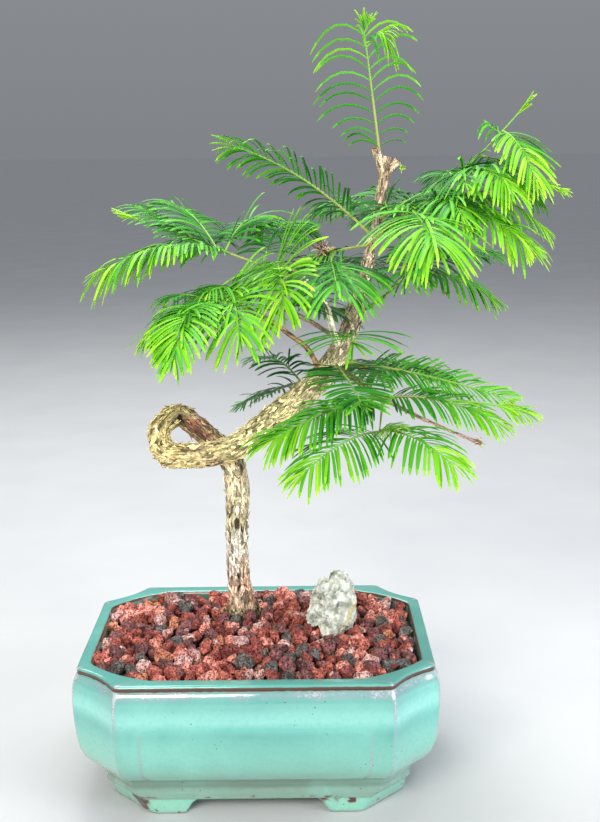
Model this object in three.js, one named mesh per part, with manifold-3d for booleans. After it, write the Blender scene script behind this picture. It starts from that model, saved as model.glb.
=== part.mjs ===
// A dawn redwood bonsai in its glazed pot, in millimetres, +Z up, 447 mm to the tip of its leader.
// Places are set out from the middle of the pot, z = 0 under its feet, +X right and +Y away.
// The last lines move the whole to the middle of its own footprint.
import * as THREE from "three";
import { mergeVertices } from "three/addons/utils/BufferGeometryUtils.js";
import Module from "manifold-3d";

const wasm = await Module();
wasm.setup();

// Driving sizes
const clear = 0.35; // what each solid keeps from the next
const pot = {
  width: 203, // over the rim
  depth: 152,
  height: 86,
  corner: 25.5, // what the cut takes off each side of a corner
  scoop: 2.8, // how hollow the cut is at the rim
  ease: 3,
  mouthWidth: 190,
  mouthDepth: 135,
  mouthCutX: 36,
  mouthCutY: 24,
  mouthRound: 3,
  underside: 10,
  floor: 20,
  footInset: 15.5, // of a foot's outer face, from the rim's outline
  footThick: 10,
  footFront: 36, // where a front foot arm ends, from the middle
  footSide: 26,
  footSlant: 5, // how much shorter an arm is at the ground
  footSplay: 6, // how much more the cut takes off at the feet
};
const bed = { edge: 79, crown: 6, pebble: 4.5, pitch: 7, jitter: 2.8, clear: 0.6 };
const stone = { x: 45, y: 4, base: 83.5, middle: 19, depth: 12, lean: 13, foot: 9 };
const trunkFoot = { x: -11, y: 28, base: 84.5, r: 9.6 };
const needle = { width: 3.2, thick: 1, pitch: 9 };
const twig = { root: 1.15, tip: 0.6, step: 13, sunk: 2.5 };

const UP = new THREE.Vector3(0, 0, 1);

// Small helpers
const vector = ([x, y, z]) => new THREE.Vector3(x, y, z);

const mix = (a, b, share) => a + (b - a) * share;

function seeded(seed) {
  let state = seed >>> 0;
  return () => {
    state = (state + 0x6d2b79f5) >>> 0;
    let word = Math.imul(state ^ (state >>> 15), state | 1);
    word ^= word + Math.imul(word ^ (word >>> 7), word | 61);
    return ((word ^ (word >>> 14)) >>> 0) / 4294967296;
  };
}

// A slow ripple between -1 and 1 that gives bark and stone their lumps
function ripple(a, b, c) {
  return (Math.sin(a * 1.7 + c) + Math.sin(b * 2.3 - a * 0.9) + Math.sin(c * 1.3 + b * 1.1)) / 3;
}

function direction(heading, rise) {
  const turn = THREE.MathUtils.degToRad(heading);
  const lift = THREE.MathUtils.degToRad(rise);
  return vector([Math.cos(turn) * Math.cos(lift), Math.sin(turn) * Math.cos(lift), Math.sin(lift)]);
}

// Closed meshes and the joins between them
function solidFrom(geometry) {
  const plain = geometry.clone();
  plain.deleteAttribute("normal");
  plain.deleteAttribute("uv");
  const merged = mergeVertices(plain, 1e-4);
  return new wasm.Manifold(
    new wasm.Mesh({
      numProp: 3,
      vertProperties: new Float32Array(merged.attributes.position.array),
      triVerts: new Uint32Array(merged.index.array),
    }),
  );
}

function geometryFrom(solid) {
  const mesh = solid.getMesh();
  const geometry = new THREE.BufferGeometry();
  geometry.setAttribute("position", new THREE.BufferAttribute(mesh.vertProperties, 3));
  geometry.setIndex(new THREE.BufferAttribute(mesh.triVerts, 1));
  return geometry;
}

function meshOf(positions, index) {
  const geometry = new THREE.BufferGeometry();
  geometry.setAttribute("position", new THREE.Float32BufferAttribute(positions, 3));
  geometry.setIndex(index);
  return solidFrom(geometry);
}

const join = (solids) => wasm.Manifold.union(solids);

// The largest body, without loose scraps or sealed hollows
function largest(solid) {
  return solid.decompose().sort((a, b) => b.volume() - a.volume())[0];
}

// A skin over rings of equal length, with a fan over the first and the last
function skin(rings) {
  const sides = rings[0].length;
  const positions = rings.flat().flatMap((p) => [p.x, p.y, p.z]);
  const index = [];
  for (let i = 0; i + 1 < rings.length; i++) {
    for (let k = 0; k < sides; k++) {
      const a = i * sides + k;
      const b = i * sides + ((k + 1) % sides);
      index.push(a, b, b + sides, a, b + sides, a + sides);
    }
  }
  for (const [ring, first, turned] of [
    [rings[0], 0, true],
    [rings.at(-1), (rings.length - 1) * sides, false],
  ]) {
    const middle = ring.reduce((sum, p) => sum.add(p), new THREE.Vector3()).divideScalar(sides);
    const hub = positions.length / 3;
    positions.push(middle.x, middle.y, middle.z);
    for (let k = 0; k < sides; k++) {
      const a = first + k;
      const b = first + ((k + 1) % sides);
      index.push(hub, turned ? b : a, turned ? a : b);
    }
  }
  return meshOf(positions, index);
}

// A round limb through stations of place and radius
function limb(stations, sides, lumps = 0) {
  let side = new THREE.Vector3(0, 1, 0);
  const rings = stations.map((station, i) => {
    const ahead = stations[Math.min(i + 1, stations.length - 1)].at;
    const behind = stations[Math.max(i - 1, 0)].at;
    const along = ahead.clone().sub(behind).normalize();
    side = side.clone().addScaledVector(along, -side.dot(along)).normalize();
    const other = along.clone().cross(side);
    return Array.from({ length: sides }, (_, k) => {
      const turn = (2 * Math.PI * k) / sides;
      const r = station.r * (1 + lumps * ripple(i * 1.9, k * 2.4, i * 0.7)) + (station.grow ?? 0);
      return station.at
        .clone()
        .addScaledVector(side, Math.cos(turn) * r)
        .addScaledVector(other, Math.sin(turn) * r);
    });
  });
  return skin(rings);
}

// Stations along a smooth curve through marks of [x, y, z, radius]
function threaded(marks, perSpan) {
  const curve = new THREE.CatmullRomCurve3(marks.map(vector));
  const count = (marks.length - 1) * perSpan;
  return Array.from({ length: count + 1 }, (_, i) => {
    const span = Math.min(Math.floor(i / perSpan), marks.length - 2);
    return {
      at: curve.getPoint(i / count),
      r: mix(marks[span][3], marks[span + 1][3], i / perSpan - span),
    };
  });
}

// The same stations, fatter and longer at the tip by grow
function grown(stations, grow) {
  const [last, before] = [stations.at(-1).at, stations.at(-2).at];
  const tip = last.clone().addScaledVector(last.clone().sub(before).normalize(), grow);
  return stations.map((station, i) => ({
    ...station,
    grow,
    at: i === stations.length - 1 ? tip : station.at,
  }));
}

// A rectangle with cut corners as a ring of points, anticlockwise from above. The cuts are
// hollow by scoop, or rounded where it is negative.
function cutRectangle({ x, y, cutX, cutY, scoop }, z) {
  const quarter = [[x, y - cutY - pot.ease], [x, y - cutY]];
  for (const share of [0.25, 0.5, 0.75]) {
    const inward = (scoop * Math.sin(Math.PI * share)) / Math.SQRT2;
    quarter.push([x - cutX * share - inward, y - cutY * (1 - share) - inward]);
  }
  quarter.push([x - cutX, y], [x - cutX - pot.ease, y]);
  return [[1, 1], [-1, 1], [-1, -1], [1, -1]].flatMap(([sx, sy]) => {
    const points = quarter.map(([px, py]) => new THREE.Vector3(sx * px, sy * py, z));
    return sx * sy > 0 ? points : points.reverse();
  });
}

// The outside of the pot, pushed out from the rim's outline by a distance
function potOutline(out, z) {
  const splay = pot.footSplay * (1 - THREE.MathUtils.smoothstep(z, 9, 16));
  const cut = pot.corner + out * (2 - Math.SQRT2) + splay;
  const scoop = pot.scoop * Math.max(0, (z - pot.floor) / (pot.height - pot.floor));
  return cutRectangle(
    { x: pot.width / 2 + out, y: pot.depth / 2 + out, cutX: cut, cutY: cut, scoop },
    z,
  );
}

// The inside of the pot, pushed in from the mouth's outline by a distance
function mouthOutline(inset, z) {
  return cutRectangle(
    {
      x: pot.mouthWidth / 2 - inset,
      y: pot.mouthDepth / 2 - inset,
      cutX: pot.mouthCutX - inset * (2 - Math.SQRT2),
      cutY: pot.mouthCutY - inset * (2 - Math.SQRT2),
      scoop: -pot.mouthRound,
    },
    z,
  );
}

// A foot round one corner: quadrant is [1 or -1, 1 or -1]
function potFoot([sx, sy]) {
  const plan = (inset, thick, slant, z) => {
    const x = pot.width / 2 - inset;
    const y = pot.depth / 2 - inset;
    const splay = pot.footSplay + 3 * (1 - THREE.MathUtils.smoothstep(z, 1, 9));
    const cut = pot.corner - inset * (2 - Math.SQRT2) + splay;
    const inner = cut - thick * (Math.SQRT2 - 1);
    const ring = [
      [pot.footFront + slant, y], [x - cut, y], [x, y - cut], [x, pot.footSide + slant],
      [x - thick, pot.footSide + slant], [x - thick, y - thick - inner],
      [x - thick - inner, y - thick], [pot.footFront + slant, y - thick],
    ].map(([px, py]) => new THREE.Vector3(sx * px, sy * py, z));
    return sx * sy > 0 ? ring.reverse() : ring;
  };
  const rings = [
    plan(pot.footInset + 1.5, pot.footThick - 3, pot.footSlant, 0),
    plan(pot.footInset, pot.footThick, pot.footSlant - 1.5, 2.5),
    plan(pot.footInset - 0.5, pot.footThick + 1, 0, pot.underside - 1),
    plan(pot.footInset - 0.5, pot.footThick + 1, -3, pot.underside + 1.5),
  ];
  const positions = rings.flat().flatMap((p) => [p.x, p.y, p.z]);
  const sides = rings[0].length;
  const index = [];
  for (let i = 0; i + 1 < rings.length; i++) {
    for (let k = 0; k < sides; k++) {
      const a = i * sides + k;
      const b = i * sides + ((k + 1) % sides);
      index.push(a, b, b + sides, a, b + sides, a + sides);
    }
  }
  const flat = rings[0].map((p) => new THREE.Vector2(p.x, p.y));
  const last = (rings.length - 1) * sides;
  for (const [a, b, c] of THREE.ShapeUtils.triangulateShape(flat, [])) {
    const area = flat[b].clone().sub(flat[a]).cross(flat[c].clone().sub(flat[a]));
    const [p, q, r] = area > 0 ? [a, b, c] : [a, c, b];
    index.push(p, r, q, last + p, last + q, last + r);
  }
  return meshOf(positions, index);
}

// The pot's section: outside as [push out from the rim, height], inside as [inset, height]
const outside = [
  [-15, pot.underside], [-13.8, 11.5], [-13, 15], [-13.6, 17.5], [-11.9, 21], [-11, 23.5],
  [-8, 25.2], [-4.4, 28.2], [-1, 33], [1.3, 40], [2.5, 49], [3.2, 60], [3.3, 70], [2.6, 77],
  [0.8, 81.6], [-0.6, 83], [0, 83.9], [0.1, 85.4], [-0.7, pot.height],
];
const inside = [[0, pot.height], [1, 84.8], [1.4, 60], [3, 40], [12, 24], [16, pot.floor]];

function makePot() {
  const shell = skin([
    ...outside.map(([out, z]) => potOutline(out, z)),
    ...inside.map(([inset, z]) => mouthOutline(inset, z)),
  ]);
  const feet = [[1, 1], [1, -1], [-1, 1], [-1, -1]].map(potFoot);
  return join([shell, ...feet]);
}

// The bed's height at a place: a low mound
function bedHeight(x, y) {
  const across = (2 * x) / pot.mouthWidth;
  const away = (2 * y) / pot.mouthDepth;
  return bed.edge + bed.crown * (1 - across ** 2) * (1 - 0.6 * away ** 2);
}

// The bed is level under the trunk and under the stone, and a hair lower than they are
const seats = [
  { x: trunkFoot.x, y: trunkFoot.y, r: trunkFoot.r + bed.pitch, z: trunkFoot.base - clear },
  { x: stone.x, y: stone.y - stone.lean, r: stone.foot + bed.pitch, z: stone.base - clear },
];

// Gravel: a block whose top rises to a point at every other mark of a jittered grid, cut to the
// inside of the pot, level under the trunk and the stone
function makeGravel() {
  const random = seeded(11);
  const columns = Math.round(pot.width / bed.pitch);
  const rows = Math.round(pot.depth / bed.pitch);
  const positions = [];
  const index = [];
  const jitter = (at, count) => (at === 0 || at === count ? 0 : (random() - 0.5) * bed.jitter);
  for (let layer = 0; layer < 2; layer++) {
    for (let j = 0; j <= rows; j++) {
      for (let i = 0; i <= columns; i++) {
        const x = (i / columns - 0.5) * pot.width + jitter(i, columns);
        const y = (j / rows - 0.5) * pot.depth + jitter(j, rows);
        const pebble = mix(1.5, bed.pebble, random()) * ((i + j) % 2 ? -0.3 : 1);
        const seat = seats.find((it) => Math.hypot(x - it.x, y - it.y) < it.r);
        const top = seat ? seat.z : bedHeight(x, y) + pebble;
        positions.push(x, y, layer ? top : pot.floor - 1);
      }
    }
  }
  const at = (i, j, layer) => (layer * (rows + 1) + j) * (columns + 1) + i;
  const quad = (a, b, c, d) => index.push(a, b, c, a, c, d);
  for (let j = 0; j < rows; j++) {
    for (let i = 0; i < columns; i++) {
      const corners = [at(i, j, 1), at(i + 1, j, 1), at(i + 1, j + 1, 1), at(i, j + 1, 1)];
      const low = (i + j) % 2 ? corners : [...corners.slice(1), corners[0]];
      quad(...low);
      quad(at(i, j, 0), at(i, j + 1, 0), at(i + 1, j + 1, 0), at(i + 1, j, 0));
    }
  }
  for (let i = 0; i < columns; i++) {
    quad(at(i, 0, 0), at(i + 1, 0, 0), at(i + 1, 0, 1), at(i, 0, 1));
    quad(at(i + 1, rows, 0), at(i, rows, 0), at(i, rows, 1), at(i + 1, rows, 1));
  }
  for (let j = 0; j < rows; j++) {
    quad(at(0, j + 1, 0), at(0, j, 0), at(0, j, 1), at(0, j + 1, 1));
    quad(at(columns, j, 0), at(columns, j + 1, 0), at(columns, j + 1, 1), at(columns, j, 1));
  }
  const walls = inside.map(([inset, z]) => mouthOutline(inset + bed.clear, z)).reverse();
  walls[0].forEach((p) => (p.z += clear));
  walls.push(mouthOutline(bed.clear, pot.height + bed.pebble));
  return largest(meshOf(positions, index).intersect(skin(walls)));
}

// The stone's reach round its middle every 11.25 degrees from +X, seen from -Y
const stoneReach = [
  14.9, 14.9, 15.4, 16, 17.2, 19, 20.6, 20.9, 19.4, 14.4, 16, 15.2, 14.5, 14.3, 14, 13.6,
  13.6, 14.6, 18.2, 18, 16.4, 15.8, 18.2, 21, 22.3, 19, 17, 16.9, 17.4, 17, 15.8, 14.7,
];

// The standing stone: an upright lump that leans to the front below its middle, cut flat below
function makeStone() {
  const geometry = new THREE.IcosahedronGeometry(1, 3);
  geometry.deleteAttribute("normal");
  geometry.deleteAttribute("uv");
  const merged = mergeVertices(geometry);
  const points = merged.attributes.position;
  for (let i = 0; i < points.count; i++) {
    const p = new THREE.Vector3().fromBufferAttribute(points, i);
    const turn = (Math.atan2(p.z, p.x) / (2 * Math.PI) + 1) % 1;
    const count = stoneReach.length;
    const sector = Math.floor(turn * count);
    const next = (sector + 1) % count;
    const outline = mix(stoneReach[sector], stoneReach[next], turn * count - sector);
    const lump = 1 + 0.1 * ripple(p.x * 5.1, p.y * 4.7, p.z * 6.3);
    const rise = Math.max(-stone.middle, p.z * outline * lump);
    points.setXYZ(
      i,
      stone.x + p.x * outline * lump,
      stone.y + p.y * stone.depth * lump + (stone.lean * Math.min(rise, 0)) / stone.middle,
      stone.base + stone.middle + rise,
    );
  }
  return solidFrom(merged);
}

// Marks of the trunk, [x, y, z, radius]: foot, back of the loop, loop, front strand and top
const loop = { x: -47.5, z: 203, radius: 10.8, from: 80, to: 290, step: 35, back: 29, front: 13 };

function loopMarks() {
  const marks = [];
  for (let angle = loop.from; angle <= loop.to; angle += loop.step) {
    const turn = THREE.MathUtils.degToRad(angle);
    const share = (angle - loop.from) / (loop.to - loop.from);
    marks.push([
      loop.x + loop.radius * Math.cos(turn),
      mix(loop.back, loop.front, share ** 0.7),
      loop.z + loop.radius * Math.sin(turn),
      mix(6.2, 7.1, share),
    ]);
  }
  return marks;
}

const footMarks = [
  [trunkFoot.x, trunkFoot.y, trunkFoot.base, trunkFoot.r], [-11, 28, 88, 8.1], [-11.5, 28, 94, 7.2],
  [-13, 28, 112, 6.5], [-13.5, 28, 140, 6.3], [-12.5, 27.5, 165, 6.6], [-14, 27.3, 180, 6.9],
  [-19.5, 27.3, 191, 6.8], [-28, 28.5, 199, 6.3], [-37, 29.5, 207, 6.2],
];
const risingMarks = [
  [-28, 14, 193.5, 7.2], [-12, 15, 198, 7.2], [0, 15, 206.5, 7.2], [13, 16, 217, 7.2],
  [27, 18, 226.5, 7.1], [38, 20, 237, 6.8], [48, 22, 250, 6], [56, 24, 265, 5.4],
  [61, 25, 281, 4.9], [65.5, 25, 297, 3.8], [68.5, 25, 311, 3.1], [72, 25, 326, 2.8],
  [74, 25, 340, 2.7], [76, 25, 352, 3], [77.5, 25, 361, 3.5], [78.5, 25, 366.5, 2.9],
];

const trunkStations = threaded([...footMarks, ...loopMarks(), ...risingMarks], 2);
const turnStation = 2 * (footMarks.length + 3);

function makeTrunk(grow) {
  const eased = (stations, end) =>
    stations.map((station, i) => ({ ...station, r: station.r * (i === end ? 0.92 : 1) }));
  const lower = trunkStations.slice(0, turnStation + 1);
  const upper = trunkStations.slice(turnStation - 1);
  const stubs = [
    [[76.5, 25, 357, 2.6], [73.5, 23.5, 365, 2.3], [71, 22, 371, 2.4]],
    [[76.5, 25, 355, 2.4], [80.5, 24.5, 359.5, 2.2], [84.5, 24, 364, 2.3]],
  ].map((marks) => limb(grown(threaded(marks, 1), grow), 6));
  return join([
    limb(grown(eased(lower, lower.length - 1), grow), 9, 0.09),
    limb(grown(eased(upper, 0), grow), 9, 0.09),
    ...stubs,
  ]);
}

// Marks of each bough, [x, y, z, radius], from inside the trunk to where its foliage takes over
const boughMarks = {
  bough_left_pale: [
    [51, 22, 253, 2.2], [46, 14, 268, 1.9], [42.5, 10, 283, 1.8], [36, 7, 291, 1.8],
    [28, 5, 299, 2.7],
  ],
  bough_left_low: [
    [40, 20, 240, 1.8], [31, 13, 257, 1.5], [22, 9, 265, 1.4], [8, 4, 276, 1.3], [-5, 0, 283, 1.8],
  ],
  bough_left_grey: [[53, 24, 258, 1.7], [42, 22, 266, 1.5], [28, 17, 275, 1.3], [17, 10, 281, 1.2]],
  bough_right_low: [[45, 22, 246, 2.2], [56, 18, 240, 1.8], [68, 16, 231, 1.8], [78, 15, 225, 3.2]],
  bough_right_bare: [
    [78.5, 14.9, 224.6, 1.5], [90, 14, 218.5, 1.2], [106, 12, 211, 1], [122, 11, 204, 1],
    [134, 10, 199, 1.4],
  ],
  bough_right_high: [[70.5, 25, 319, 2], [80, 23, 328, 1.6], [90, 21, 335, 1.5], [99, 19, 338, 1.7]],
  bough_right_inner: [[61, 25, 276, 1.5], [74, 27, 283, 1.2], [83, 26, 291, 1.1], [90, 25, 300, 1.3]],
  bough_back_high: [[70.5, 25, 319, 1.9], [74, 36, 324, 1.6], [77, 48, 326, 1.8]],
  bough_back_middle: [[65, 25, 293, 2], [58, 37, 298, 1.7], [52, 50, 299, 1.8]],
  bough_back_low: [[46, 22, 247, 2.2], [58, 37, 244, 1.8], [68, 52, 236, 1.8]],
};

const boughStations = Object.fromEntries(
  Object.entries(boughMarks).map(([name, marks]) => [name, threaded(marks, 2)]),
);

const makeBough = (name, grow) => limb(grown(boughStations[name], grow), 6, 0.05);

// Foliage. Each mass is a family of shoots: the first leaves a limb at a place, the others
// leave a shoot of the same mass at a share of its length. Heading is in degrees from +X towards
// +Y, rise in degrees above the level, long and bow in mm. Needles stand between the shares bare
// and stop. hang says how far they droop, bend how curved they are, lean and end how far they
// point away from the shoot at its root and at its tip, vee how much they stand up at the root,
// full their share of the longest at the root, middle and tip, uneven how much longer they are on
// one side, and tuft the size of the last one.
// roll turns the flat of the spray about its shoot.
const masses = {
  foliage_leader: {
    lead: { from: [74.4, 24.6, 364], heading: -146, rise: 80.5, long: 74, bow: 0.8, bare: 0.06,
      needle: 41, hang: 1, bend: 1, roll: 40, lean: 60, end: 52, full: [0.36, 0.9, 0.85],
      uneven: 0.12, tuft: 0.5 },
    top: { on: "lead", at: 0.88, heading: -24, rise: 24, long: 8, bare: 0, needle: 31, hang: 2.3,
      bend: 1, lean: 50 },
    tip: { on: "lead", at: 0.96, heading: -40, rise: 60, long: 5, bare: 0, needle: 12, hang: 0.3,
      lean: 40, end: 24 },
  },
  foliage_upper_left: {
    main: { from: [69.5, 25, 321], heading: -169, rise: 33, long: 95, bow: 7, bare: 0.14,
      needle: 30, hang: 0.75, bend: 0.7, roll: 24, lean: 54 },
  },
  foliage_left_high: {
    main: { bough: "bough_left_pale", heading: 172, rise: 20, long: 108, bare: 0.42, stop: 0.84,
      needle: 18, hang: 0.5 },
    front: { on: "main", at: 0.42, heading: -154, rise: -3, long: 72, bow: 8, needle: 36, hang: 1.4,
      roll: 14, lean: 68, end: 44, full: [0.4, 0.8, 0.95] },
    rear: { on: "main", at: 0.62, heading: 137, rise: 20, long: 47, bow: 2, needle: 29, hang: 0.9,
      roll: 15 },
    rearmost: { on: "main", at: 0.5, heading: 122, rise: 23, long: 57, bow: 5, needle: 31,
      hang: 0.9, roll: 15 },
    inner: { on: "main", at: 0.45, heading: 59, rise: 15, long: 44, bow: 10, needle: 29, hang: 1,
      roll: -15 },
    crossing: { on: "main", at: 0.24, heading: 68, rise: 11, long: 68, bow: 15, needle: 25,
      hang: 1 },
  },
  foliage_left_front: {
    main: { from: [29.6, 5.4, 300.8], heading: -168, rise: 25, long: 17.5, bare: 1, needle: 20,
      hang: 0.8 },
    front: { on: "main", at: 1, heading: -85, rise: -20, long: 52, bow: 6, bare: 0, needle: 37,
      hang: 0.65, roll: 42, lean: 92, end: 22, vee: 0.5, full: [0.95, 1, 0.8] },
  },
  foliage_left_middle: {
    main: { bough: "bough_left_grey", heading: -163, rise: 20, long: 37, bow: 2, bare: 0.3,
      needle: 24, hang: 0.8 },
    front: { on: "main", at: 0.96, heading: -81, rise: -19, long: 51, bow: 6, bare: 0, needle: 36,
      hang: 0.9, roll: 24, lean: 90, end: 24, vee: 0.6, full: [0.85, 1, 0.8] },
    inner: { on: "main", at: 0.05, heading: 40, rise: -8, long: 44, bow: 3, needle: 30, hang: 0.8 },
    rear: { on: "main", at: 0.7, heading: 118, rise: -4, long: 40, bow: 4, needle: 26, hang: 0.9 },
    side: { on: "main", at: 0.8, heading: -128, rise: 6, long: 26, bow: 3, needle: 22, hang: 1.1 },
  },
  foliage_left_low: {
    main: { bough: "bough_left_low", heading: -142, rise: 6, long: 40, bow: 5, bare: 0.5,
      needle: 24, hang: 1 },
    side: { on: "main", at: 0.96, heading: -158, rise: -30, long: 30, bow: 4, needle: 22, hang: 1.2,
      lean: 54 },
    front: { on: "main", at: 1, heading: -118, rise: -38, long: 30, bow: 3, bare: 0, needle: 23,
      hang: 0.9, roll: 8, lean: 56, end: 18 },
    near: { on: "main", at: 0.9, heading: -100, rise: -26, long: 50, bow: 4, bare: 0, needle: 27,
      hang: 0.9, roll: 8, lean: 64, end: 18, vee: 0.3 },
    rear: { on: "main", at: 0.7, heading: 150, rise: 0, long: 28, bow: 3, needle: 21, hang: 1 },
    inner: { on: "main", at: 0.5, heading: -100, rise: -10, long: 30, bow: 3, needle: 22,
      hang: 1.2 },
  },
  foliage_centre: {
    main: { from: [69.6, 24.5, 316], heading: -152, rise: -8, long: 42, bow: 1, bare: 0.5,
      needle: 18, hang: 0.6 },
    rear: { on: "main", at: 0.35, heading: 165, rise: -22, long: 46, bow: 3, needle: 26,
      hang: 0.9 },
    front: { on: "main", at: 0.68, heading: -88, rise: -13, long: 60, bow: 1, bare: 0.3, needle: 37,
      hang: 1, lean: 84, end: 24, full: [0.9, 1, 0.85] },
  },
  foliage_fork: {
    main: { from: [54, 22, 259], heading: -88, rise: 9, long: 50, bow: 5, bare: 0.62, needle: 36,
      hang: 0.6, lean: 92, end: 56, full: [1, 1, 0.8], tuft: 1.4 },
  },
  foliage_right_high: {
    main: { bough: "bough_right_high", heading: -12, rise: 44, long: 80, bow: -3, bare: 0.3,
      stop: 0.5, needle: 16, hang: 0.4 },
    curl: { on: "main", at: 0.78, heading: 160, rise: 34, long: 7, bare: 0, needle: 20, hang: 1.3,
      bend: 1, lean: 60, tuft: 0.5 },
    outer: { on: "main", at: 0.8, heading: -62, rise: -40, long: 40, bow: 5, needle: 27, hang: 0.9,
      lean: 60 },
    lower: { on: "main", at: 0.38, heading: -60, rise: -8, long: 46, bow: 7, needle: 31, hang: 1.1,
      lean: 68 },
    rear: { on: "main", at: 0.58, heading: 27, rise: -32, long: 47, bow: 5, needle: 27, hang: 1.1 },
    inner: { on: "main", at: 0.3, heading: -84, rise: 2, long: 34, bow: 5, needle: 27, hang: 1.1,
      roll: 20 },
    left: { on: "main", at: 0.34, heading: 98, rise: 0, long: 30, bow: 4, needle: 21, hang: 1 },
  },
  foliage_right_middle: {
    main: { bough: "bough_right_high", heading: -47, rise: -12, long: 75, bow: 8, bare: 0.16,
      needle: 37, hang: 1.1, lean: 68 },
    upper: { on: "main", at: 0.14, heading: -12, rise: -10, long: 61, bow: 11, needle: 30,
      hang: 1.1 },
    tip: { on: "upper", at: 0.4, heading: -19, rise: 4, long: 45, bow: 4, needle: 19, hang: 0.6,
      lean: 50 },
    inner: { on: "main", at: 0.1, heading: -74, rise: -4, long: 46, bow: 7, needle: 31, hang: 1.2 },
  },
  foliage_right_front: {
    main: { from: [73.5, 25, 331], heading: -62, rise: 14, long: 34, bow: 1, bare: 0.3, needle: 28,
      hang: 0.8 },
    front: { on: "main", at: 0.9, heading: -81, rise: -15, long: 62, bow: 3, bare: 0.3, needle: 40,
      hang: 1.05, lean: 82, end: 22, vee: 0.2, full: [0.9, 1, 0.85] },
    rear: { on: "main", at: 0.5, heading: 28, rise: 16, long: 40, bow: 4, needle: 28, hang: 1 },
    upper: { on: "main", at: 0.3, heading: 96, rise: 22, long: 34, bow: 4, needle: 26, hang: 1.1 },
  },
  foliage_right_inner: {
    main: { bough: "bough_right_inner", heading: -24, rise: -11, long: 52, bow: 6, bare: 0.14,
      needle: 29, hang: 1.1 },
    rear: { on: "main", at: 0.08, heading: 34, rise: 8, long: 64, bow: 6, needle: 26, hang: 1 },
    upper: { on: "main", at: 0.04, heading: 70, rise: 26, long: 40, bow: 3, needle: 24, hang: 0.8 },
    left: { on: "main", at: 0.03, heading: -96, rise: 2, long: 32, bow: 4, needle: 26, hang: 1 },
  },
  foliage_low_left: {
    main: { bough: "bough_right_low", heading: -146, rise: -10, long: 77, bow: 4, bare: 0.1,
      needle: 32, hang: 0.95, roll: -8, lean: 60, end: 24, full: [0.8, 1, 0.8] },
  },
  foliage_low_front: {
    main: { bough: "bough_right_low", heading: -99, rise: -34, long: 27, bare: 1, needle: 20,
      hang: 0.5 },
    left: { on: "main", at: 1, heading: -133, rise: -10, long: 65, bow: 5, needle: 33, hang: 1,
      roll: -10, lean: 62, end: 24 },
    right: { on: "main", at: 0.96, heading: -50, rise: -9, long: 57, bow: 5, bare: 0.18, needle: 31,
      hang: 1, roll: 10, lean: 62, end: 24 },
    bud: { on: "main", at: 0.98, heading: -64, rise: 14, long: 16, bare: 0, needle: 15, hang: 0.9,
      roll: 20 },
  },
  foliage_fork_low: {
    main: { from: [47, 22, 247], heading: -80, rise: -8, long: 76, bow: 2, bare: 0.14, needle: 27,
      hang: 0.3, lean: 80, full: [0.8, 1, 0.75] },
  },
  foliage_right_low: {
    main: { from: [48, 23, 248], heading: -3, rise: -13, long: 105, bow: 3, bare: 0.2, needle: 19,
      hang: 0.4, roll: 36, lean: 56, full: [0.8, 1, 0.9] },
    rear: { on: "main", at: 0.36, heading: 52, rise: -14, long: 56, bow: 4, needle: 23, hang: 0.9 },
  },
  foliage_right_lowest: {
    main: { bough: "bough_right_low", heading: -22, rise: -8, long: 69, bow: 6, bare: 0.06,
      needle: 26, hang: 0.8, roll: 18, lean: 58, end: 24 },
    tip: { on: "main", at: 0.5, heading: -2, rise: -9, long: 53, bow: 2, bare: 0.64, needle: 18,
      hang: 0.8, roll: 20, lean: 62, end: 40 },
  },
  foliage_back_left: {
    main: { from: [36, 20, 238], heading: 140, rise: -21, long: 62, bow: 1, bare: 0.25, needle: 23,
      hang: 0.7 },
    upper: { on: "main", at: 0.2, heading: 136, rise: 18, long: 36, bow: 5, needle: 23, hang: 0.8 },
  },
  foliage_back_high: {
    main: { bough: "bough_back_high", heading: 82, rise: -2, long: 58, bow: 8, needle: 28,
      hang: 1.1 },
    left: { on: "main", at: 0.14, heading: 130, rise: 4, long: 54, bow: 8, needle: 28, hang: 1.1 },
    right: { on: "main", at: 0.22, heading: 34, rise: 4, long: 54, bow: 8, needle: 28, hang: 1.1 },
    near: { on: "main", at: 0.06, heading: 8, rise: 18, long: 36, bow: 4, needle: 26, hang: 1 },
  },
  foliage_back_middle: {
    main: { bough: "bough_back_middle", heading: 104, rise: -12, long: 56, bow: 7, needle: 28,
      hang: 1.1 },
    left: { on: "main", at: 0.12, heading: 152, rise: -10, long: 58, bow: 7, needle: 28,
      hang: 1.1 },
    right: { on: "main", at: 0.22, heading: 58, rise: -12, long: 50, bow: 7, needle: 28,
      hang: 1.1 },
  },
  foliage_back_low: {
    main: { bough: "bough_back_low", heading: 76, rise: -14, long: 52, bow: 5, needle: 28,
      hang: 1.1 },
    left: { on: "main", at: 0.12, heading: 122, rise: -14, long: 52, bow: 5, needle: 28,
      hang: 1.1 },
    right: { on: "main", at: 0.18, heading: 28, rise: -12, long: 58, bow: 6, needle: 28,
      hang: 1.1 },
  },
};

// Where a shoot starts: at a place in the trunk, inside a bough's tip, or on another shoot
function shootStart(shoot, family) {
  if (shoot.from) return vector(shoot.from);
  if (shoot.on) return family[shoot.on].getPoint(shoot.at);
  const [last, before] = [boughStations[shoot.bough].at(-1), boughStations[shoot.bough].at(-2)];
  return last.at.clone().lerp(before.at, twig.sunk / last.at.distanceTo(before.at));
}

// A shoot's curve, bowed up at its middle
function shootCurve(shoot, family) {
  const start = shootStart(shoot, family);
  const end = start.clone().addScaledVector(direction(shoot.heading, shoot.rise), shoot.long);
  const knee = start.clone().add(end).multiplyScalar(0.5);
  knee.z += 2 * (shoot.bow ?? 0);
  return new THREE.QuadraticBezierCurve3(start, knee, end);
}

function curvesOf(family) {
  const curves = {};
  for (const [label, shoot] of Object.entries(family)) curves[label] = shootCurve(shoot, curves);
  return curves;
}

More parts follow.
